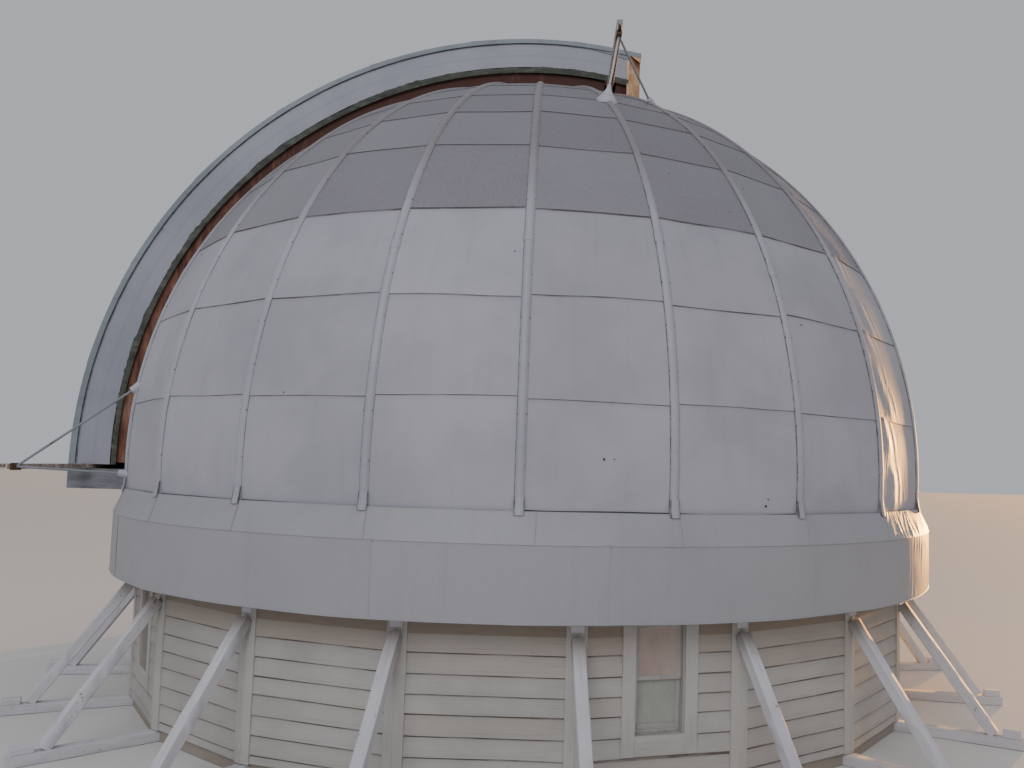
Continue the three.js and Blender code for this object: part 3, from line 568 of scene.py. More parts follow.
# %% One lapped sheet, flat or buckled
def gore_sheet(first_azimuth, low, high, seed, buckled):
    """A sheet on the chord plane between two ribs, bowed to the dome's circle from lap to lap. It
    stands off by 2.5 mm at its top and 7 mm at its lower edge. A buckled one has two folds, Gaussian
    in section, that drift sideways as they run down, and fine wrinkles above its lower edge. Gives the
    grid of points, the metres across and down the sheet, and the latitude of each row in radians."""
    rows, cols = (40, 72) if buckled else (12, 18)
    u = np.linspace(0, 1, cols)[None, :]
    v = np.linspace(0, 1, rows)[:, None]
    step = math.radians(0.10) * ripple(u + 0 * v, 0 * u + 0 * v, seed, 2.0, 3)
    lat = np.radians(low + (high - low + 0.35) * v) + (1 - v) * step
    first, second = (polar(DOME_R * np.cos(lat), a, SPRING_Z + DOME_R * np.sin(lat))
                     for a in (first_azimuth, first_azimuth + PITCH_AZ))
    chord = first * (1 - u[..., None]) + second * u[..., None]
    normal = polar(np.cos(lat), first_azimuth + PITCH_AZ / 2, np.sin(lat))
    across = u * np.linalg.norm(second - first, axis=-1)
    down = (1 - v) * math.radians(high - low) * DOME_R + 0 * u
    window = np.sin(np.pi * u) * np.sin(np.pi * v)
    lift = 0.0025 + 0.0045 * (1 - v) + 0.002 * window * (1 + ripple(across, down * 0.45, seed + 1, 0.9))
    if buckled:
        pinned = np.clip(np.minimum(u, 1 - u) * 12, 0, 1) * np.clip(v * 6 + 0.35, 0, 1)
        middle = 0.13 + 0.24 * (1 - v) + 0.05 * ripple(down, 0 * down, seed + 2, 0.7)
        strength = 0.7 + 0.5 * ripple(down, 0 * down, seed + 3, 0.6)
        folds = np.exp(-((u - middle) / 0.085) ** 2) + 0.4 * np.exp(-((u - middle - 0.17) / 0.035) ** 2)
        beside_folds = np.exp(-((u - middle) / 0.14) ** 2)
        wrinkles = creased(across, down, seed + 4, 0.055, 0.45) * (1 - v + beside_folds)
        lift = lift + pinned * (0.012 * strength * folds + 0.0032 * wrinkles)
    return chord + normal * lift[..., None], (across, down), lat


one_sheet = gore_sheet(0, SEAMS[0], SEAMS[1], 1, False)
print("a sheet of the lowest course, across and down:", [m.max().round(2) for m in one_sheet[1]], "m")

# %% [markdown]
# The sheets are hung from the collar upwards. The dark line of grime and painted shade under a lap has
# to follow the lower edge of the sheet above, which is only known once that sheet is made, so each
# sheet's V is set one course later.

# %% Dome sheets
# how brown and dark each course's paint has gone, as a share of the tone colour
COURSE_TONES = (0.04, 0.06, 0.10, 0.76, 0.86, 0.94, 0.98, 1.0, 1.0, 1.0)
# V at the lap that each course comes out from under, in metres: the lower it is, the wider the dark line of
# grime and painted shade
LINE_START = (0.004, -0.001, -0.006, 0.001, 0.0, 0.0, 0.0, 0.0, 0.0, 0.0)
SUNLIT_GORE = 9
dome_sheets = {s: [] for s in range(6)}
for gore in range(GORES):
    azimuth = -90 + gore * PITCH_AZ
    below = None
    for course, (low, high) in enumerate(zip(SEAMS[:-1], SEAMS[1:])):
        seed = 1000 + gore * 20 + course
        step = random.normal(0, 0.10)
        grid, (across, down), lat = gore_sheet(azimuth, low + step, high, seed, gore == SUNLIT_GORE)
        if below:
            below[0]["uv"][:, 1] = (DOME_R * (lat[0] - below[1]) + LINE_START[course - 1]).ravel()
        below = None
        slit = in_slit(grid, 1e-5)
        if slit.all():
            continue
        tone = np.clip(COURSE_TONES[course] + random.normal(0, 0.06), 0, 1)
        keep = ~(slit[:-1, :-1] & slit[1:, :-1] & slit[:-1, 1:] & slit[1:, 1:])
        on_roll = across + 1.7 * len(dome_sheets[gore // 4]) + gore
        sheet = patch(pull_to_slit(grid), (on_roll, down), tone, away_from=CENTRE, keep=keep)
        dome_sheets[gore // 4].append(sheet)
        below = (sheet, lat)
for s, sheets in dome_sheets.items():
    piece(f"dome_sheets_{s + 1}", sheets, dome_paint, "dome", thick=0.002)
print("dome sheets:", sum(len(s) for s in dome_sheets.values()))

# %% [markdown]
# A rounded batten of rolled sheet covers each joint between gores. It comes in two lengths, the upper
# one sleeved over the lower, and its foot is beaten flat and flares out over the collar's upper edge.
# Small screws hold its flanges. The section is a profile, and it is carried up the meridian.

# %% The batten's section and its path
# half the flange is 41 mm wide and the crown stands 25.5 mm above the dome's circle
BATTEN = np.array([[-41, -8], [-41, 4], [-38, 7], [-31, 11.5], [-22, 20.5], [-12, 24], [0, 25.5],
                   [12, 24], [22, 20.5], [31, 11.5], [38, 7], [41, 4], [41, -8]]) / 1000


def on_meridian(azimuth, lat, across, lift):
    """A point beside a rib: out along the radius at a latitude, then sideways along the parallel."""
    a, up_angle = np.radians(azimuth), np.radians(lat)
    base = polar((DOME_R + lift) * np.cos(up_angle), azimuth, SPRING_Z + (DOME_R + lift) * np.sin(up_angle))
    sideways = np.stack([across * np.cos(a), across * np.sin(a), 0 * across], -1)
    return base + sideways


def batten(azimuth, low, high, grow=0.0, stations=40):
    """The section carried up the meridian from one latitude to another, a little fatter where grown.
    Its tone rises from 0 at 27 degrees to 1 at 39, where the sheets turn dark too."""
    lat = np.linspace(low, high, stations)[:, None]
    section = BATTEN * (1 + grow)
    wander = 0.0018 * ripple(lat, 0 * lat, int(azimuth + 500), 40.0)
    # a 13 mm dark line of dirt and painted shade along each edge of the batten
    made = bar(on_meridian(azimuth, lat, section[None, :, 0] + wander, section[None, :, 1]), edge_dirt_and_shade=0.013)
    # the batten stands above the circle, so 0.99 keeps the sine below 1
    lat_of_point = np.degrees(np.arcsin((made["points"][:, 2] - SPRING_Z) / DOME_R * 0.99))
    made["tone"] = np.clip((lat_of_point - 27) / 12, 0, 1)
    return made


print("batten section, in mm:", (1000 * np.ptp(BATTEN, axis=0)).round(1))

# %% Where a rib stops
def top_latitude(azimuth):
    """The latitude where a rib stops, 12 mm short of the slit: the arccosine of its radius there."""
    a, gap = math.radians(azimuth), 0.012
    beside = (SLIT_HALF + gap) / max(abs(math.cos(a)), 1e-6)
    behind = (SLIT_REAR + gap) / math.sin(a) if math.sin(a) > 1e-6 else 1e9
    return math.degrees(math.acos(min(beside, behind, DOME_R) / DOME_R))


print("rib top latitudes:", {a: round(top_latitude(a), 1) for a in (-75, -30, 0, 45, 90)})

# %% Screw heads and the batten's foot
def dome_heads(azimuths, lats, across, lift, size=0.006):
    """Pan heads as low domes: four rings of ten points round each place. A ring's radius and height are
    shares of the head's size, from the rim below the surface to the crown."""
    ring = np.linspace(0, 2 * np.pi, 10, endpoint=False)
    profile = ((1.0, -0.6), (1.0, 0.1), (0.75, 0.5), (0.0, 0.7))
    heads = []
    for azimuth, lat, w in zip(azimuths, lats, across):
        rows = [on_meridian(azimuth, lat + np.degrees(r * size * np.sin(ring) / DOME_R),
                            w + r * size * np.cos(ring), lift + h * size) for r, h in profile]
        heads.append(patch(np.stack(rows), away_from=CENTRE, loop=True))
    return heads


def batten_foot(azimuth):
    """The batten's flattened foot: half the section's depth, flared over the collar's upper edge."""
    z = np.array([2.256, 2.258, 2.290, 2.330, 2.400])[:, None]
    crown = np.array([4.743, 4.7445, 4.739, 4.7295, 4.7220])[:, None]
    outward = crown + (BATTEN[None, :, 1] - 0.0255) * 0.5
    foot = bar(in_bay(azimuth, BATTEN[None, :, 0], outward, z), edge_dirt_and_shade=0.013)
    # painted shade and dirt: V of 0 along the foot's lowest edge draws a dark line under it
    foot["uv"][:, 1] = np.where(foot["points"][:, 2] < 2.257, 0.0, foot["uv"][:, 1])
    return foot


print("a screw head has", len(dome_heads([0], [0], [0.0], 0.0)[0]["quads"]), "faces")

# %% Rib battens and their screws
SCREW_SPACING_DEG, SCREW_OFF_MIDDLE = 4.8, 0.0350
for segment in range(6):
    ribs = [-90 + segment * 60 + k * PITCH_AZ for k in range(4)]
    battens, heads = [], []
    for azimuth in ribs:
        if azimuth == -90:
            continue
        end = top_latitude(azimuth)
        joint = 24.6 + 1.5 * math.sin(azimuth)
        battens.append(batten(azimuth, -4.15, min(joint, end)))
        battens.append(batten_foot(azimuth))
        if end > joint:
            battens.append(batten(azimuth, joint - 0.5, end))
            battens.append(batten(azimuth, joint - 0.9, joint + 0.25, grow=0.10, stations=4))
        spots = np.arange(0.5, end - 1.0, SCREW_SPACING_DEG)
        sides = np.tile([-SCREW_OFF_MIDDLE, SCREW_OFF_MIDDLE], len(spots))
        heads += dome_heads([azimuth] * len(sides), np.repeat(spots, 2), sides, 0.0100)
    piece(f"rib_battens_{segment + 1}", battens, batten_paint, "dome")
    piece(f"batten_screws_{segment + 1}", heads, batten_paint, "dome")
print("screws on the last segment:", len(heads))

# %% Rust round a few old fixings
# rust has come through the sheets at a few old fixings, given as azimuth, latitude and radius
rust_spots = [(8.0, 1.25, 0.010), (9.0, 1.3, 0.005), (25.75, -3.0, 0.010), (26.0, -2.3, 0.006)]
rust_spots += [(a, l, 0.006) for a, l in zip(random.uniform(-75, 255, 26), random.uniform(-2, 40, 26))]
marks = []
for azimuth, lat, size in rust_spots:
    off_middle = (azimuth % PITCH_AZ) - PITCH_AZ / 2
    below_circle = DOME_R * (math.cos(math.radians(PITCH_AZ / 2)) / math.cos(math.radians(off_middle)) - 1)
    marks += dome_heads([azimuth], [lat], [0.0], below_circle * math.cos(math.radians(lat)) + 0.010, size)
piece("rust_spots", marks, rust_bleed, "dome")
print("rust spots:", len(marks))

# %% [markdown]
# Below the ribs a collar of short flared sheets sheds the rain on to the skirt, a deep band that
# hangs over the drum like a curtain. The collar's joints stand a few centimetres beside the ribs and
# lean a little. The skirt's sheets are longer, and its lower edge is rolled and has been bumped.

# %% Collar sheets
# the radius and height of the collar's two edges
COLLAR_TOP, COLLAR_LOW = (4.716, 2.289), (4.787, 2.040)
METRES_PER_DEGREE = 0.083
# each joint's shift beside its rib and its lean, in degrees; those in plain view are given
joint_shift = {k: (random.normal(0.32, 0.10), random.normal(0.0, 0.10)) for k in range(GORES)}
joint_shift.update({6: (1.45, -0.10), 7: (0.25, 0.10), 8: (0.60, -0.45), 9: (0.35, -0.65)})
collar = []
for k in range(GORES):
    (here, lean), (there, lean_next) = joint_shift[k], joint_shift[(k + 1) % GORES]
    start, stop = -90 + k * PITCH_AZ + here, -90 + (k + 1) * PITCH_AZ + there + 0.25
    sunlit = 9 <= k <= 11
    u = np.linspace(0, 1, 90 if sunlit else 20)[None, :]
    v = np.linspace(0, 1, 20 if sunlit else 6)[:, None]
    az = start + (stop - start) * u + v * (lean * (1 - u) + lean_next * u)
    # the upper edge follows the flat gores above it, and the lower edge is round
    off_middle = (az % PITCH_AZ) - PITCH_AZ / 2
    share = np.cos(np.radians(PITCH_AZ / 2)) / np.cos(np.radians(off_middle))
    across, down = az * METRES_PER_DEGREE + 0 * v, 0.26 * v + 0 * az
    r = COLLAR_TOP[0] * share * (1 - v) + COLLAR_LOW[0] * v + 0.005 + 0.002 * u**12 + 0.003 * v
    r = r + 0.003 * (0.5 + 0.5 * ripple(across, down, 40 + k, 0.8)) * np.sin(np.pi * v) * np.sin(np.pi * u)
    if sunlit:
        pinned = np.clip(np.minimum(u, 1 - u) * 14, 0, 1) * np.clip((1 - v) * 5 + 0.2, 0, 1)
        r = r + 0.008 * pinned * creased(across + 0.5 * down, down, 60 + k, 0.13, 0.5)
    z = COLLAR_TOP[1] + (COLLAR_LOW[1] - COLLAR_TOP[1]) * v + 0 * u
    # V places a dark line of grime and painted shade under the dome's lowest sheets and along the joint
    collar.append(patch(polar(r, az, z), (across, np.minimum(down + 0.003, (1 - u) * 1.25 + 0.003)),
                        0.3 + 0.3 * random.random(), away_from=CENTRE - [0, 0, 1]))
piece("collar_sheets", collar, skirt_paint, "dome", thick=0.002)
print("collar sheets:", len(collar))

# %% Skirt sheets
SKIRT_R, SKIRT_TOP, SKIRT_LOW = 4.790, 2.050, 1.446


def hem_wave(azimuth):
    """The lower edge's height error: a slow ripple of 3.5 mm, the same for the sheets and their hem."""
    return 0.0035 * ripple(azimuth * METRES_PER_DEGREE, 0 * azimuth, 50, 2.2)


# nine sheets, whose joints are given as azimuths
skirt_joints = [8.2 + 42.25 * k for k in range(9)] + [368.2]
skirt = []
for k, (start, stop) in enumerate(zip(skirt_joints[:-1], skirt_joints[1:])):
    sunlit = k == 1
    az = np.linspace(start, stop + 0.3, int((stop - start) * (7 if sunlit else 1.6)))[None, :]
    v = np.linspace(0, 1, 26 if sunlit else 12)[:, None]
    u = (az - start) / (stop - start)
    across, down = az * METRES_PER_DEGREE + 0 * v, 0.6 * v + 0 * az
    dents = 0.5 + 0.5 * ripple(across, down * 0.5, 70 + k, 1.1)
    r = SKIRT_R + 0.002 * u**40 + 0.004 * dents * np.sin(np.pi * v)
    if sunlit:
        pinned = np.clip(u * 14, 0, 1) * np.clip(np.minimum(v, 1 - v) * 5 + 0.3, 0, 1)
        r = r + 0.008 * pinned * creased(across, down, 90, 0.15, 1.0)
    z = SKIRT_TOP + (SKIRT_LOW - SKIRT_TOP) * v + v * hem_wave(az)
    # V places a dark line of grime and painted shade under the collar and along each joint
    skirt.append(patch(polar(r, az, z), (across, np.minimum(down, (az - start) * METRES_PER_DEGREE + 0.006)),
                       0.25 + 0.5 * random.random(), away_from=CENTRE - [0, 0, 1]))
piece("skirt_sheets", skirt, skirt_paint, "dome", thick=0.002)
print("skirt sheets:", len(skirt))

# %% The skirt's rolled hem
HEM_R = 0.005
az = np.linspace(0, 360, 289)[:, None]
turn = np.linspace(0, 2 * np.pi, 9)[None, :-1]
hem_z = SKIRT_LOW + hem_wave(az) + HEM_R * np.sin(turn)
hem_ring = polar(SKIRT_R + 0.0005 + HEM_R * np.cos(turn), az, hem_z)
hem_ring[-1] = hem_ring[0]
hem = patch(hem_ring, (az * METRES_PER_DEGREE + 0 * turn, 0.5 + 0 * az + 0 * turn), 0.3, loop=True)
hem["closed"] = True
piece("skirt_hem", [hem], skirt_paint, "dome")
print("hem:", 2000 * HEM_R, "mm thick")

# %% [markdown]
# Each shutter is half of an arched hood. Its side wall is a band between two arcs with different
# centres, so it is deepest at the sill and narrows over the top. It is sheeted in three panels. A
# folded strip, painted darker, caps its upper edge and sheds water. A strip of perished rubber laps
# over its lower edge and hangs below it to narrow the gap to the dome. All of it slides outwards with
# the shutter.

# %% The side wall's arcs
SHUTTERS = (("near", -1), ("far", 1))
WALL_Y, HOOD_R, HOOD_Z, INNER_R = 1.225, 5.256, 2.485, 4.8
REAR_X, CHAMFER = 1.180, 0.140
# the arcs' first and last angles, in degrees from the sill
SPAN_INNER = (-1.07, 90 + math.degrees(math.asin((REAR_X - CHAMFER) / INNER_R)))
SPAN_OUTER = (0.27, 90 + math.degrees(math.asin((REAR_X - CHAMFER) / HOOD_R)))


def hood_wall(t, s, y):
    """A point of the side wall: t runs from the sill over the top, and s, as a share of the wall's
    depth, from the inner arc to the outer one, on the straight line between two points of the arcs. The
    outer arc is taken 1 mm inside the cover."""
    inner = np.radians(SPAN_INNER[0] + (SPAN_INNER[1] - SPAN_INNER[0]) * t)
    outer = np.radians(SPAN_OUTER[0] + (SPAN_OUTER[1] - SPAN_OUTER[0]) * t)
    x = -(1 - s) * INNER_R * np.cos(inner) - s * (HOOD_R - 0.001) * np.cos(outer)
    z = (1 - s) * (SPRING_Z + INNER_R * np.sin(inner)) + s * (HOOD_Z + (HOOD_R - 0.001) * np.sin(outer))
    return np.stack(np.broadcast_arrays(x, y, z), -1)


wall_depths = [np.linalg.norm(np.ptp(hood_wall(t, np.array([0.0, 1.0]), 0), axis=0)) for t in (0, 0.5, 0.93)]
print("the wall is", np.round(wall_depths, 3), "m deep at the sill, halfway round and over the top")

# %% Side wall panels
# the wall's length and depth laid flat, in metres, which scale its dents and its dirt
WALL_LENGTH, WALL_DEPTH = 9, 0.45
# the joints as shares of the arc, and the one that has opened and gone dark
DARK_JOINT = 0.315
wall_joints = np.array([0, DARK_JOINT, 0.68, 1.0])
for side_name, sign in SHUTTERS:
    panels = []
    for k, (t0, t1) in enumerate(zip(wall_joints[:-1], wall_joints[1:])):
        t = np.linspace(t0, min(t1 + 0.002, 1.0), max(4, int((t1 - t0) * 130)))[:, None]
        s = np.linspace(0.0, 1.0, 9)[None, :]
        u = (t - t0) / (t1 - t0)
        bulge = np.sin(np.pi * s) * np.sin(np.pi * np.clip(u, 0, 1))
        dents = 0.5 + 0.5 * ripple(t * WALL_LENGTH, s * WALL_DEPTH, 130 + k, 0.8)
        out = 0.0008 + 0.0024 * u**60 + 0.003 * bulge * dents
        grid = hood_wall(t, s, sign * (WALL_Y + out))
        tight = [0.0 if abs(joint - DARK_JOINT) < 0.01 else 0.030 for joint in (t0, t1)]
        length = (t1 - t0) * WALL_LENGTH
        from_joint = np.minimum(u * length + tight[0], (1.01 - u) * length + tight[1])
        # painted shadow and dirt just under the drip strip, so the dark line begins 84 mm below the wall's
        # upper edge
        depth = np.minimum((1 - s) * WALL_DEPTH - 0.084, from_joint)
        panels.append(patch(grid, (s * WALL_DEPTH + 0 * t, depth), facing=(0, sign, 0)))
    piece(f"shutter_{side_name}_panels", panels, shutter_paint, f"shutter_{side_name}",
          thick=0.0015)
print("panels on each wall:", len(panels))

# %% Drip strip along the upper edge
# its folds are given in metres at the sill, where the wall is about this deep, and narrow with it
SILL_DEPTH = 0.44
for side_name, sign in SHUTTERS:
    t = np.linspace(0, 1, 160)[:, None]
    fold = 0.072 + 0.002 * ripple(t * WALL_LENGTH, 0 * t, 140, 1.2)
    q = np.linspace(0, 1, 5)[None, :]
    drip = hood_wall(t, 1 - fold * q / SILL_DEPTH + 0.004, sign * (WALL_Y + 0.011 + 0.011 * q**2))
    # behind the zenith a second fold widens towards the end
    tail = np.linspace(0.935, 1.0, 24)[:, None]
    widening = 0.060 + 0.075 * ((tail - 0.935) / 0.065) ** 0.9
    flap = hood_wall(tail, 1 - widening * q / SILL_DEPTH, sign * (WALL_Y + 0.007 + 0.004 * q**3))
    strips = [patch(drip, (t * WALL_LENGTH, 0.4 + 0 * t * q), facing=(0, sign, 0)),
              patch(flap, (tail * WALL_LENGTH, 0.4 + 0 * tail * q), facing=(0, sign, 0))]
    piece(f"shutter_{side_name}_drip_strip", strips, drip_paint, f"shutter_{side_name}",
          thick=0.003)
print("drip strip:", round(float(fold.mean()) * 1000), "mm deep at the sill")

# %% Perished weather strip along the lower edge
for side_name, sign in SHUTTERS:
    t = np.linspace(0, 1, 160)[:, None]
    q = np.linspace(0, 1, 7)[None, :]
    run = t * WALL_LENGTH
    torn = -0.005 + 0.030 * ripple(run, 0 * t, 150, 0.9) + 0.018 * ripple(run, 0 * t, 151, 0.13)
    hang = -0.155 - 0.055 * np.clip((t - 0.35) / 0.3, 0, 1)
    lap = 0.007 - 0.012 * np.clip(q - 0.7, 0, 1) + 0.003 * q * ripple(run, q, 152, 0.4)
    strip = hood_wall(t, torn + (hang - torn) * q, sign * (WALL_Y + lap))
    piece(f"shutter_{side_name}_weather_strip", [patch(strip, (run, q * 0.07), facing=(0, sign, 0))],
          weather_strip, f"shutter_{side_name}", thick=0.004)
print("weather strip hangs down by up to", -hang.min().round(2), "of the wall's depth")

# %% [markdown]
# Beside the slit a board stands on the dome's curb, under the side wall's lower edge. Rust from the
# steel above has run down it and stained it brown. Over the top of the dome it has been planed lower,
# so that it clears the shutter, and it is cut where the top rail crosses it.

# %% Curb boards beside the slit
BOARD_TOP_R = 4.785
for side_name, sign in SHUTTERS:
    boards = []
    # before and behind the top rail: first and last angle from the sill, and how much lower over the top
    for first, last, lowered in ((-0.8, 99.3, 0.055), (100.9, 102.8, 0.020)):
        turn = np.radians(np.linspace(first, last, 90))[:, None]
        dip = lowered * np.clip((np.degrees(turn) - 66) / 26, 0, 1)
        top = BOARD_TOP_R - dip + 0.004 * ripple(turn * DOME_R, 0 * turn, 155, 0.9)
        r = np.concatenate([4.560 + 0 * turn, 4.560 + 0 * turn, top, top], 1)
        y = sign * np.array([1.1765, 1.1885, 1.1885, 1.1765])
        rings = bar(np.stack([-r * np.cos(turn), y + 0 * r, SPRING_Z + r * np.sin(turn)], -1))
        # painted shade: the board's tone makes it darker towards the top of the arch
        rings["tone"] = np.clip((rings["points"][:, 2] - 4.5) / 2.6, 0, 0.9)
        boards.append(rings)
    piece(f"slit_curb_board_{side_name}", boards, rusted_curb, "dome")
print("curb boards: 12 mm thick,", BOARD_TOP_R, "m from the dome's centre at the foot")

# %% [markdown]
# The hood's cover is sheeted like the dome, in lapped panels over the arch.

# %% Shutter cover sheets
cover_turns = np.radians([-0.2, 13, 26.5, 40, 53.5, 67, 80.5, 94, math.degrees(math.acos(-REAR_X / HOOD_R))])
for side_name, sign in SHUTTERS:
    body = f"shutter_{side_name}"
    panels = []
    for k, (a0, a1) in enumerate(zip(cover_turns[:-1], cover_turns[1:])):
        a = np.linspace(a0, min(a1 + 0.004, cover_turns[-1]), 22)[:, None]
        u = (a - a0) / (a1 - a0)
        w = np.linspace(0, 1, 16)[None, :]
        window = np.sin(np.pi * w) ** 0.6 * np.sin(np.pi * np.clip(u, 0, 1)) ** 0.5
        dents = 0.5 + 0.5 * ripple(w * 1.2, u * 1.2, 160 + k, 0.7)
        r = HOOD_R + 0.003 + 0.004 * (1 - u) ** 6 + 0.005 * window * dents
        x = -r * np.cos(a)
        y = sign * (0.007 + (WALL_Y + 0.001) * w) + 0 * a
        grid = np.stack([x, y, HOOD_Z + r * np.sin(a)], -1)
        # V places a dark line of grime and painted shade under each panel's upper lap
        panels.append(patch(grid, (w * 1.22 + 0 * a, (1 - u) * 1.2 + 0 * w), away_from=CENTRE))
    piece(f"{body}_cover_sheets", panels, shutter_paint, body, thick=0.002)
print("cover sheets on each shutter:", len(panels))

# %% [markdown]
# The hood's rear end is closed by a rusted sheet, whose corner is cut at 45 degrees. The cover above is
# square there, so a flat sheet closes the corner from below and two tapered gussets stand under its
# edges. Folded posts cover the end's upright joints, and a folded cap runs round the cover's edge.

# %% Shutter end sheets and gussets
# the end's plan, from the meeting line round its cut corner to the side wall, as (x, y) pairs
END_PLAN = {"rear": [(REAR_X + 0.003, 0.007), (REAR_X + 0.003, 1.0855)],
            "corner": [(REAR_X + 0.003, 1.0865), (REAR_X - 0.1385, 1.2280)]}
for side_name, sign in SHUTTERS:
    body = f"shutter_{side_name}"
    sheets = []
    for n, ((x0, y0), (x1, y1)) in enumerate(END_PLAN.values()):
        u = np.linspace(0, 1, 20)[None, :]
        v = np.linspace(0, 1, 14)[:, None]
        x, y = x0 + (x1 - x0) * u + 0 * v, y0 + (y1 - y0) * u + 0 * v
        foot = SPRING_Z + np.sqrt(4.765**2 - x**2 - y**2)
        head = HOOD_Z + np.sqrt((HOOD_R + 0.002)**2 - np.minimum(x, REAR_X)**2)
        z = foot + (head - foot) * v
        dent = 0.004 * np.abs(ripple(x + y, z, 180 + n, 0.5)) * np.sin(np.pi * v) * np.sin(np.pi * u)
        out = unit(np.array([y1 - y0, x0 - x1]))
        grid = np.stack([x + out[0] * dent, sign * (y + out[1] * dent), z], -1)
        sheets.append(patch(grid, (x + y, 1.2 - v), facing=(1, sign * 0.5, 0)))
    # two gussets under the cover's square corner, 36 mm deep at their tips and 114 mm at the corner
    u, v = np.linspace(0, 1, 10)[None, :], np.linspace(0, 1, 4)[:, None]
    for x, y, look in ((REAR_X + 0.0035 - CHAMFER * (1 - u), 1.2315 + 0 * u, (0, sign, 0)),
                       (REAR_X + 0.0035 + 0 * u, 1.2315 - CHAMFER * (1 - u), (1, 0, 0))):
        head = HOOD_Z + np.sqrt((HOOD_R + 0.002)**2 - np.minimum(x, REAR_X)**2)
        z = head - v * (0.036 + 0.078 * u)
        grid = np.stack([x + 0 * v, sign * y + 0 * v, z], -1)
        sheets.append(patch(grid, (x + y + 0 * v, 1.2 - 0 * z), facing=look))
    # rust, with pale orange colours that are painted sunlight
    piece(f"{body}_end_sheets", sheets, rust_and_sunlight_sheet, body, thick=0.002)
print("end sheets on each shutter:", len(sheets))

# %% End posts and caps
for side_name, sign in SHUTTERS:
    body = f"shutter_{side_name}"
    posts = []
    # two folded posts, as (x behind the rear face, y) round each fold
    for folds in ([(-0.164, 1.2300), (-0.138, 1.2300), (-0.124, 1.2160)],
                  [(-0.008, 1.1000), (0.006, 1.0860), (0.006, 1.0720)]):
        x, y = np.array(folds).T[:, None, :] + [[[REAR_X]], [[0.0]]]
        v = np.linspace(0, 1, 12)[:, None]
        foot = SPRING_Z + np.sqrt(4.770**2 - x**2 - y**2)
        head = HOOD_Z + np.sqrt(HOOD_R**2 - np.minimum(x, REAR_X)**2) + 0.001
        z = foot + (head - foot) * v
        grid = np.stack([x + 0 * z + 0.0015, sign * (y + 0 * z + 0.0015), z], -1)
        posts.append(patch(grid, (x + 0 * z, 0.4 + 0 * z), facing=(1, sign, 0)))
    # rust, with pale orange colours that are painted sunlight
    piece(f"{body}_end_posts", posts, rust_and_sunlight_sheet, body, thick=0.003)

    # the flat sheet that closes the cover's square corner from below
    v = np.linspace(0, 1, 8)[:, None]
    x, y = REAR_X - CHAMFER * (1 - v) + 0 * v.T, 1.2285 - CHAMFER * v * (1 - v.T)
    grid = np.stack([x, sign * y, HOOD_Z + np.sqrt(5.2245**2 - x**2)], -1)
    caps = [patch(grid, (x, 0.4 + 0 * y), facing=(0, 0, -1))]
    for (x0, y0), (x1, y1) in (((REAR_X + 0.0065, 0.006), (REAR_X + 0.0065, 1.2345)),
                               ((REAR_X + 0.0065, 1.2345), (REAR_X - 0.1420, 1.2345))):
        t = np.linspace(0, 1, 24)[:, None]
        # the cap's section: 50 mm in over the cover, a tight fold, and 58 mm down
        inwards, drop = np.array([[0.050, 0.001, 0.0, 0.0]]), np.array([[0.0, 0.0, -0.005, -0.058]])
        out = unit(np.array([y1 - y0, x0 - x1]))
        x, y = x0 + (x1 - x0) * t - out[0] * inwards, y0 + (y1 - y0) * t - out[1] * inwards
        grid = np.stack([x, sign * y, HOOD_Z + np.sqrt(HOOD_R**2 - x**2) + 0.009 + drop], -1)
        caps.append(patch(grid, (t + 0 * x, 0.4 + 0 * x), facing=(1, 0, 1)))
    piece(f"{body}_end_caps", caps, drip_paint, body, thick=0.003)
print("posts:", len(posts), "caps and closing sheets:", len(caps))

# %% [markdown]
# Two steel rails cross the dome and carry the shutters, one behind the zenith and one at the sill. The
# section is a trough: two flanges and a web. The top rail is upside down and its web is deep, so from
# below it shows a light band over a narrow dark hollow. A small plate stops each of its ends.

# %% Rails
RAIL_REACH, FLANGE = 2.82, 0.014


def rail(name, x, z, open_down, web, node_name):
    """Three bars, two flanges under or over a web, carried across the dome with softened edges."""
    y = np.linspace(-RAIL_REACH, RAIL_REACH, 60)[:, None]
    wave = 0.0007 * ripple(y, 0 * y, 200, 1.1)
    if open_down:
        web_z, flange_z = (z[1] - web, z[1]), (z[0], z[1] - web)
    else:
        web_z, flange_z = (z[0], z[0] + web), (z[0] + web, z[1])
    # each edge is cut back by c, which rounds it in the render
    c, parts = 0.0025, []
    bars = (((x[0], x[0] + FLANGE), flange_z), ((x[1] - FLANGE, x[1]), flange_z), (x, web_z))
    for (x0, x1), (z0, z1) in bars:
        edge = np.array([[x0 + c, z0], [x1 - c, z0], [x1, z0 + c], [x1, z1 - c], [x1 - c, z1], [x0 + c, z1],
                         [x0, z1 - c], [x0, z0 + c]])
        across, height = edge[None, :, 0], edge[None, :, 1]
        parts.append(bar(np.stack([across + wave, y + 0 * across, height + wave], -1)))
    piece(name, parts, rusted_rail, "dome", replaced=(node_name,))


rail("top_rail_trough", (0.780, 0.840), (7.095, 7.200), True, 0.050, "top_rail")
rail("sill_rail_trough", (-5.130, -4.990), (2.460, 2.510), False, 0.016, "sill_rail")
print("rails:", 2 * RAIL_REACH, "m long")

# %% [markdown]
# Each outer end of a rail rests on a plate between two thin legs, and each leg's foot sits in a cone
# of sheet that keeps rain out of the hole. The top rail's front leg has a wide, low cone on its rib,
# and the others have small ones.

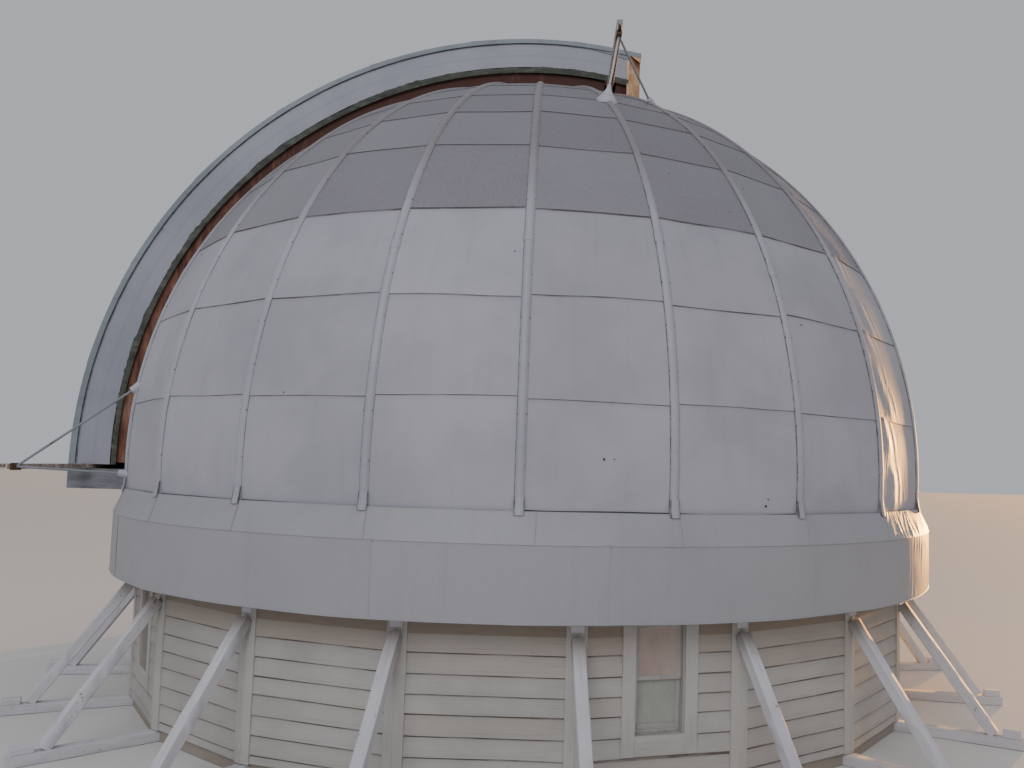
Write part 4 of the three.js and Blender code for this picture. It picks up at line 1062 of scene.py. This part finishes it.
# %% Pipes and timbers
def pipe(path, radii, sides=20):
    """A round bar: circles of the given radii about a path's points, square to its overall direction."""
    path = np.asarray(path, float)
    along = unit(path[-1] - path[0])
    # crossed with any direction that no pipe here follows
    across = unit(np.cross(along, [0.31, 0.87, 0.12]))
    other = np.cross(along, across)
    turn = np.linspace(0, 2 * np.pi, sides, endpoint=False)
    ring = np.cos(turn)[:, None] * across + np.sin(turn)[:, None] * other
    return bar(path[:, None, :] + np.asarray(radii)[:, None, None] * ring[None])


def timber(start, stop, upwards, width, depth, bevel=0.006, stations=14, seed=0, bow=0.002):
    """A sawn timber from start to stop: a rectangle with cut corners, bowed sideways by a ripple and
    uneven in its size by two in a hundred."""
    start, stop = np.asarray(start, float), np.asarray(stop, float)
    along = unit(stop - start)
    across = unit(np.cross(along, upwards))
    rise = np.cross(across, along)
    w, d, c = width / 2, depth / 2, bevel
    corners = np.array([[-w + c, -d], [w - c, -d], [w, -d + c], [w, d - c],
                        [w - c, d], [-w + c, d], [-w, d - c], [-w, -d + c]])
    t = np.linspace(0, 1, stations)[:, None]
    run = t * np.linalg.norm(stop - start)
    drift = bow * ripple(run, 0 * run, seed, 2.4) * np.sin(np.pi * t)
    uneven = 1 + 0.02 * ripple(run + 0 * corners[None, :, 0], corners[None, :, 0] * 40, seed + 1, 0.5)
    centre = start + (stop - start) * t + drift * across
    return bar(centre[:, None, :] + (corners[None, :, 0] * uneven)[..., None] * across
               + (corners[None, :, 1] * uneven)[..., None] * rise)


print("a pipe of 8 stations has", len(pipe([[0, 0, k] for k in range(8)], [0.012] * 8)["quads"]), "faces")

# %% The stands' measures
# each boot's radius at the foot and at the neck, and its height
WIDE_BOOT, SMALL_BOOT = (0.107, 0.021, 0.150), (0.043, 0.036, 0.080)
# each leg's azimuth and latitude on the dome, its boot and its paint
TOP_FEET = ((15, 54.5, WIDE_BOOT, trim_sheet_paint), (30, 58.5, SMALL_BOOT, stay_paint))
SILL_FEET = ((-60, -2, SMALL_BOOT, stay_paint), (-60, 9, SMALL_BOOT, stay_paint))
# each stand's kind, head as (x, z), feet, the plate's two edges as (x, z)
STANDS = (("top", (0.810, 7.0825), TOP_FEET, ((0.782, 7.0825), (0.838, 7.0825))),
          ("sill", (-4.9775, 2.485), SILL_FEET, ((-4.9775, 2.450), (-4.9775, 2.520))))
STAND_Y, LEG_R, PLATE_T = 2.70, 0.012, 0.020
print("a stand's middle is", STAND_Y, "m beside the slit's middle line")

# %% Stands with boots
for side_name, sign in SHUTTERS:
    for kind, (head_x, head_z), feet, ((x0, z0), (x1, z1)) in STANDS:
        head = np.array([head_x, sign * STAND_Y, head_z])
        boots = []
        for n, (azimuth, lat, (foot_r, neck_r, tall), paint) in enumerate(feet):
            azimuth = azimuth if sign < 0 else 180 - azimuth
            foot = on_meridian(azimuth, lat, 0.0, 0.0)
            along = unit(head - foot)
            step = np.linspace(0, 1, 8)[:, None]
            leg = pipe(head + (foot - head) * step, LEG_R + 0 * step[:, 0])
            piece(f"{kind}_rail_leg_{side_name}_{n + 1}", [leg], paint, "dome")
            # the boot flares from its neck to its foot by a share of the height to the power 1.6
            rise = np.linspace(-0.06 / tall, 1, 12)[:, None]
            radii = neck_r + (foot_r - neck_r) * np.clip(1 - rise[:, 0], 0, 1.1) ** 1.6
            boots.append(pipe(foot + along * rise * tall, radii, 24))
            band = foot + along * np.array([[0.96], [0.99], [1.08]]) * tall
            boots.append(pipe(band, [neck_r + 0.002, neck_r + 0.003, 0.015]))
        plate = timber((x0, sign * STAND_Y, z0), (x1, sign * STAND_Y, z1), (-(z1 - z0), 0, x1 - x0), 0.16,
                       PLATE_T, 0.003, 4)
        piece(f"{kind}_rail_plate_{side_name}", [plate], rusted_steel, "dome",
              replaced=(f"{kind}_rail_stand_{side_name}",))
        piece(f"{kind}_rail_boots_{side_name}", boots, trim_sheet_paint, "dome")
    inner, outer = (0.810, sign * 2.816, 7.175), (0.810, sign * 2.825, 7.175)
    end_stop = timber(inner, outer, (0, 0, 1), 0.056, 0.046, 0.001, 4)
    piece(f"top_rail_end_stop_{side_name}", [end_stop], stay_paint, "dome")
print("legs:", 2 * (len(TOP_FEET) + len(SILL_FEET)))

# %% [markdown]
# The drum's walls are boarded with bevelled clapboards, 161 mm to the weather, thick at the lower edge
# and thin under the next board. They stop at corner boards and at the window's casing, and a plain
# wide board closes the top under the skirt. Each board is a wedge-shaped profile carried along its bay.

# %% The drum's bays and one clapboard
WALL_R, BAYS, TURN = 4.512, 20, -29.88
WALLS, BAYS_PER_WALL, WINDOW_BAY = 5, 4, 2
BAY_FACE = WALL_R * math.cos(math.pi / BAYS)
HALF_BAY = WALL_R * math.sin(math.pi / BAYS)
# the boards' lower edges, with the lowest board's and the frieze's
LAPS = np.array([0.116, 0.193, 0.354, 0.516, 0.684, 0.835, 0.993, 1.159, 1.318])
BOARD_END = HALF_BAY - 0.0805
COVERED = 0.018


def bay_azimuth(wall, bay_number):
    """The azimuth of the middle of a bay, counted along a wall from 0."""
    return TURN + (wall * BAYS_PER_WALL + bay_number + 0.5) * 360 / BAYS


def clapboard(bay, start, stop, z0, z1, seed):
    """A bevelled board: 17 mm thick at its lower edge, 5 mm at the top, bowed by a millimetre or two."""
    x = np.linspace(start, stop, max(4, int((stop - start) * 14)))[:, None]
    top = z1 + COVERED
    section = np.array([[0.002, z0 + 0.004], [0.015, z0], [0.0185, z0 + 0.002], [0.019, z0 + 0.005],
                        [0.0125, (z0 + z1) / 2], [0.0065, z1], [0.0055, top], [0.001, top]])
    sag = 0.0022 * ripple(x, 0 * x, seed, 1.6)
    cup = 0.0012 * ripple(x, 0 * x, seed + 1, 0.7)
    outward = BAY_FACE + section[None, :, 0] + cup * (section[None, :, 0] > 0.003)
    return bar(in_bay(bay, x, outward, section[None, :, 1] + sag))


def board_tone(z):
    """Boards near the top are browner and darker: tannin stain, and painted shade under the skirt."""
    return float(np.clip((z - 0.85) / 0.6, 0, 0.75))


print("bay width:", round(2 * HALF_BAY, 3), "m, mean board:", round(float(np.diff(LAPS[1:]).mean()), 3), "m")

# %% Clapboards
WINDOW_HALF, WINDOW_LOW, WINDOW_TOP = 0.325, 0.363, 1.500
for wall in range(WALLS):
    boards = []
    for bay_number in range(BAYS_PER_WALL):
        bay = bay_azimuth(wall, bay_number)
        for row, (z0, z1) in enumerate(zip(LAPS[:-1], LAPS[1:])):
            spans = [(-BOARD_END, BOARD_END)]
            if bay_number == WINDOW_BAY and z1 > WINDOW_LOW and z0 < WINDOW_TOP:
                spans = [(-BOARD_END, -WINDOW_HALF - 0.001), (WINDOW_HALF + 0.001, BOARD_END)]
            # the whole board under a window stops below its casing
            if bay_number == WINDOW_BAY and len(spans) == 1 and z1 > WINDOW_LOW - 0.02:
                z1 = WINDOW_LOW - 0.02
            for n, (start, stop) in enumerate(spans):
                seed = 3000 + wall * 200 + bay_number * 40 + row * 3 + n
                board_bar = clapboard(bay, start, stop, z0, z1, seed)
                # the frieze laps over the highest board by 15 mm more
                # V is the depth below the board's upper lap, where the dark line of dirt and painted shade
                # lies
                depth = z1 - board_bar["points"][:, 2] + 0.015 * (row == len(LAPS) - 2)
                board_bar["uv"] = np.stack([board_bar["uv"][:, 0], depth], -1)
                board_bar["tone"] = np.clip(board_tone(z0) + 0 * depth + 0.12 * random.normal(), 0, 1)
                boards.append(board_bar)
    piece(f"clapboards_{wall + 1}", boards, board_paint, "drum")
print("boards on each wall:", len(boards))

# %% [markdown]
# Trim boards are planed and square with softened edges: a frieze at the top, two boards folded round
# each corner, a base board, and a plain casing round each window with a sill board and two side
# boards inside it.

# %% One planed board
def board(bay, x, outward, z, bevel=0.003, seed=0, tone=0.0):
    """A planed board in a bay: a box with softened long edges that follows its longer side."""
    x, outward, z = (np.asarray(v, float) for v in (x, outward, z))
    long_x = x[1] - x[0] > z[1] - z[0]
    run = np.linspace(*(x if long_x else z), 16)[:, None]
    a, b = (z if long_x else x), outward
    c = bevel
    section = np.array([[a[0] + c, b[0]], [a[1] - c, b[0]], [a[1], b[0] + c], [a[1], b[1] - c],
                        [a[1] - c, b[1]], [a[0] + c, b[1]], [a[0], b[1] - c], [a[0], b[0] + c]])
    wave = 0.0012 * ripple(run, 0 * run, seed, 1.3)
    across, out = section[None, :, 0] + wave, section[None, :, 1] + wave * 0.5
    grid = in_bay(bay, run, out, across) if long_x else in_bay(bay, across, out, run)
    return bar(grid, tone)


print("a planed board has", len(board(0, (-0.5, 0.5), (0, 0.02), (0, 0.1))["quads"]), "faces")

# %% Frieze, corner boards, base boards and casings
CASING_IN, CASING_OUT = 0.2145, 0.3265
for wall in range(WALLS):
    trims = []
    for bay_number in range(BAYS_PER_WALL):
        index = wall * BAYS_PER_WALL + bay_number
        bay = bay_azimuth(wall, bay_number)
        whole, beside = [(-BOARD_END, BOARD_END)], [(-BOARD_END, -WINDOW_HALF), (WINDOW_HALF, BOARD_END)]
        # the frieze's tone of 0.9 makes it browner and darker: stain, and painted shade under the skirt
        frieze = (BAY_FACE + 0.001, BAY_FACE + 0.010), (1.298, 1.960)
        for n, span in enumerate(beside if bay_number == WINDOW_BAY else whole):
            trims.append(board(bay, span, *frieze, seed=index * 7 + n, tone=0.9))
        corner = (BAY_FACE + 0.002, BAY_FACE + 0.0275), (0.110, 1.972)
        for edge in (-1, 1):
            x = sorted((edge * (HALF_BAY - 0.081), edge * (HALF_BAY + 0.003)))
            trims.append(board(bay, x, *corner, seed=index * 9 + edge))
        base = (BAY_FACE - 0.038, BAY_FACE - 0.012), (0.004, 0.108)
        trims.append(board(bay, (-HALF_BAY + 0.002, HALF_BAY - 0.002), *base, seed=index * 11, tone=0.7))
    bay = bay_azimuth(wall, WINDOW_BAY)
    face = (BAY_FACE + 0.002, BAY_FACE + 0.028)
    for n, edge in enumerate((-1, 1)):
        x = sorted((edge * CASING_IN, edge * CASING_OUT))
        trims.append(board(bay, x, face, (0.363, 1.502), seed=wall * 13 + n))
    trims.append(board(bay, (-0.2140, 0.2140), face, (1.3895, 1.502), seed=wall * 17))
    trims.append(board(bay, (-0.2140, 0.2140), face, (0.363, 0.498), seed=wall * 19))
    sill = (BAY_FACE - 0.060, BAY_FACE + 0.022), (0.499, 0.5235)
    trims.append(board(bay, (-0.2138, 0.2138), *sill, seed=wall * 23, tone=0.35))
    jamb = (BAY_FACE - 0.075, BAY_FACE + 0.012), (0.5235, 1.3895)
    for edge in (-1, 1):
        x = sorted((edge * 0.2000, edge * 0.2148))
        trims.append(board(bay, x, *jamb, 0.002, wall * 29 + edge, 0.3))
    piece(f"drum_trim_{wall + 1}", trims, trim_paint, "drum")
print("trim boards on each wall:", len(trims))

# %% [markdown]
# The window is a pair of sashes. Each sash is a rectangular frame whose section has a sloped bead
# against the pane, and the upper sash stands forward of the lower one, so their meeting rails overlap.

# %% A frame with mitred corners
def frame_round(bay, x, z, section):
    """A closed section carried round a rectangle with mitred corners. Section: inset, then outward."""
    corner_x = np.array([x[0], x[1], x[1], x[0]])
    corner_z = np.array([z[0], z[0], z[1], z[1]])
    in_x, in_z = np.array([1, -1, -1, 1]), np.array([1, 1, -1, -1])
    inset, outward = section[:, 0], section[:, 1]
    px = corner_x[:, None] + in_x[:, None] * inset
    pz = corner_z[:, None] + in_z[:, None] * inset
    ring = in_bay(bay, px, outward[None, :] + 0 * px, pz)
    ring = np.concatenate([ring, ring[:1]])
    made = patch(ring, (np.arange(5)[:, None] * 0.5 + 0 * inset, 0 * ring[..., 0]), loop=True)
    made["closed"] = True
    return made


square = frame_round(0, (0, 1), (0, 1), np.array([[0.0, 0.0], [0.0, 0.02], [0.03, 0.02], [0.03, 0.0]]))
print("a plain mitred frame has", len(square["quads"]), "faces")

# %% Window sashes and panes
SASH_HALF, RAIL_W, PANE_HALF = 0.1995, 0.032, 0.172
SASH_FACE = BAY_FACE - 0.022
# each sash's foot and head, and its face; then each pane's name, foot and head, place and glass
SASHES = (((0.946, 1.3890), SASH_FACE), ((0.5240, 0.976), SASH_FACE - 0.022))
PANES = (("upper", (0.972, 1.363), SASH_FACE - 0.013, upper_pane),
         ("lower", (0.590, 0.950), SASH_FACE - 0.035, lower_pane))
for wall in range(WALLS):
    bay = bay_azimuth(wall, WINDOW_BAY)
    frames = []
    for z, front in SASHES:
        section = np.array([[0.0, front - 0.020], [0.0, front - 0.001], [0.002, front],
                            [RAIL_W - 0.012, front], [RAIL_W - 0.004, front - 0.008],
                            [RAIL_W, front - 0.010], [RAIL_W, front - 0.020]])
        frames.append(frame_round(bay, (-SASH_HALF, SASH_HALF), z, section))
    bottom_rail = (SASH_FACE - 0.045, SASH_FACE - 0.024), (0.552, 0.596)
    frames.append(board(bay, (-PANE_HALF, PANE_HALF), *bottom_rail, 0.002, wall * 31, 0.2))
    piece(f"sash_frames_{wall + 1}", frames, sash_paint, "drum",
          replaced=(f"window_sash_{wall + 1}",))
    for label, (z0, z1), place, glass in PANES:
        x = np.linspace(-PANE_HALF, PANE_HALF, 9)[None, :]
        z = np.linspace(z0, z1, 9)[:, None]
        crown = 0.0004 * np.sin(np.pi * (x / 0.31 + 0.5)) * np.sin(np.pi * (z - z0) / (z1 - z0))
        grid = in_bay(bay, x, place + crown, z)
        pane = patch(grid, (x + 0 * z, z + 0 * x), facing=polar(1.0, bay, 0.0))
        piece(f"{label}_pane_{wall + 1}", [pane], glass, "drum", thick=0.004)
print("panes are", 2 * PANE_HALF, "m wide")

# %% [markdown]
# A raking brace holds each corner of the drum: a 100 mm square timber from a ground sleeper up to
# the corner, with a small cleat at its head and a block that stops its foot. Its paint is darker
# towards its head.

# %% Braces
BRACE_TOP_Z, BRACE_FOOT_R, SLEEPER_H, SLEEPER_END_R = 1.300, 5.430, 0.100, 5.698
HEAD_R = WALL_R + 0.025 / math.cos(math.pi / BAYS) + 0.001
for k in range(BAYS):
    azimuth = TURN + k * 360 / BAYS
    out = polar(1.0, azimuth, 0.0)
    head = out * (HEAD_R + 0.020) + [0, 0, BRACE_TOP_Z - 0.006]
    foot = out * (BRACE_FOOT_R - 0.004) + [0, 0, SLEEPER_H + 0.012]
    middle = np.array([0, 0, SLEEPER_H / 2 + 0.001])
    start, stop = out * (WALL_R - 0.036) + middle, out * SLEEPER_END_R + middle
    block = out * (BRACE_FOOT_R + 0.075) + [0, 0, SLEEPER_H + 0.032]
    cleat = out * HEAD_R + [0, 0, BRACE_TOP_Z + 0.050]
    # the brace, its sleeper, the block behind its foot and the cleat over its head
    parts = [timber(foot, head, out, 0.100, 0.100, 0.007, 16, 400 + k, 0.004),
             timber(start, stop, (0, 0, 1), 0.121, SLEEPER_H - 0.002, 0.008, 12, 440 + k),
             timber(block, block + out * 0.165, (0, 0, 1), 0.100, 0.064, 0.005, 4, 480 + k),
             timber(cleat, cleat + [0, 0, 0.110], out, 0.104, 0.040, 0.005, 4, 520 + k)]
    # darker towards the head only; the sleeper is a little dirtier than the rest
    for part, base, darkening in zip(parts, (0.05, 0.12, 0.05, 0.0), (0.85, 0.0, 0.0, 0.0)):
        height = part["points"][:, 2]
        part["tone"] = np.clip(base + darkening * np.clip((height - 1.10) / 0.2, 0, 1), 0, 1)
    piece(f"brace_timbers_{k + 1:02d}", parts, strut_paint, "drum",
          replaced=(f"brace_{k + 1:02d}",))
print("braces:", BAYS, "and each is", np.linalg.norm(head - foot).round(2), "m long")

# %% [markdown]
# The CAD solids that stay in view need finishes too: the shell's inside is dull sheet, the curbs are
# rusted steel, and the drum's wall behind the boards is timber.

# %% Finishes of the CAD nodes
cad_finish = {"dome_shell": unpainted_sheet, "skirt": skirt_core_paint, "slit_curb": rusted_steel,
              "slit_sill": shutter_paint, "shutter_near_side": rusted_steel, "shutter_far_side": rusted_steel,
              "shutter": unpainted_sheet, "drum_wall": trim_paint}
for name, node_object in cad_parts.items():
    finish = next((m for prefix, m in cad_finish.items() if name.startswith(prefix)), None)
    if finish:
        for material_slot in node_object.material_slots:
            material_slot.material = finish
print("finished nodes:", sum(name.startswith(tuple(cad_finish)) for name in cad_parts))
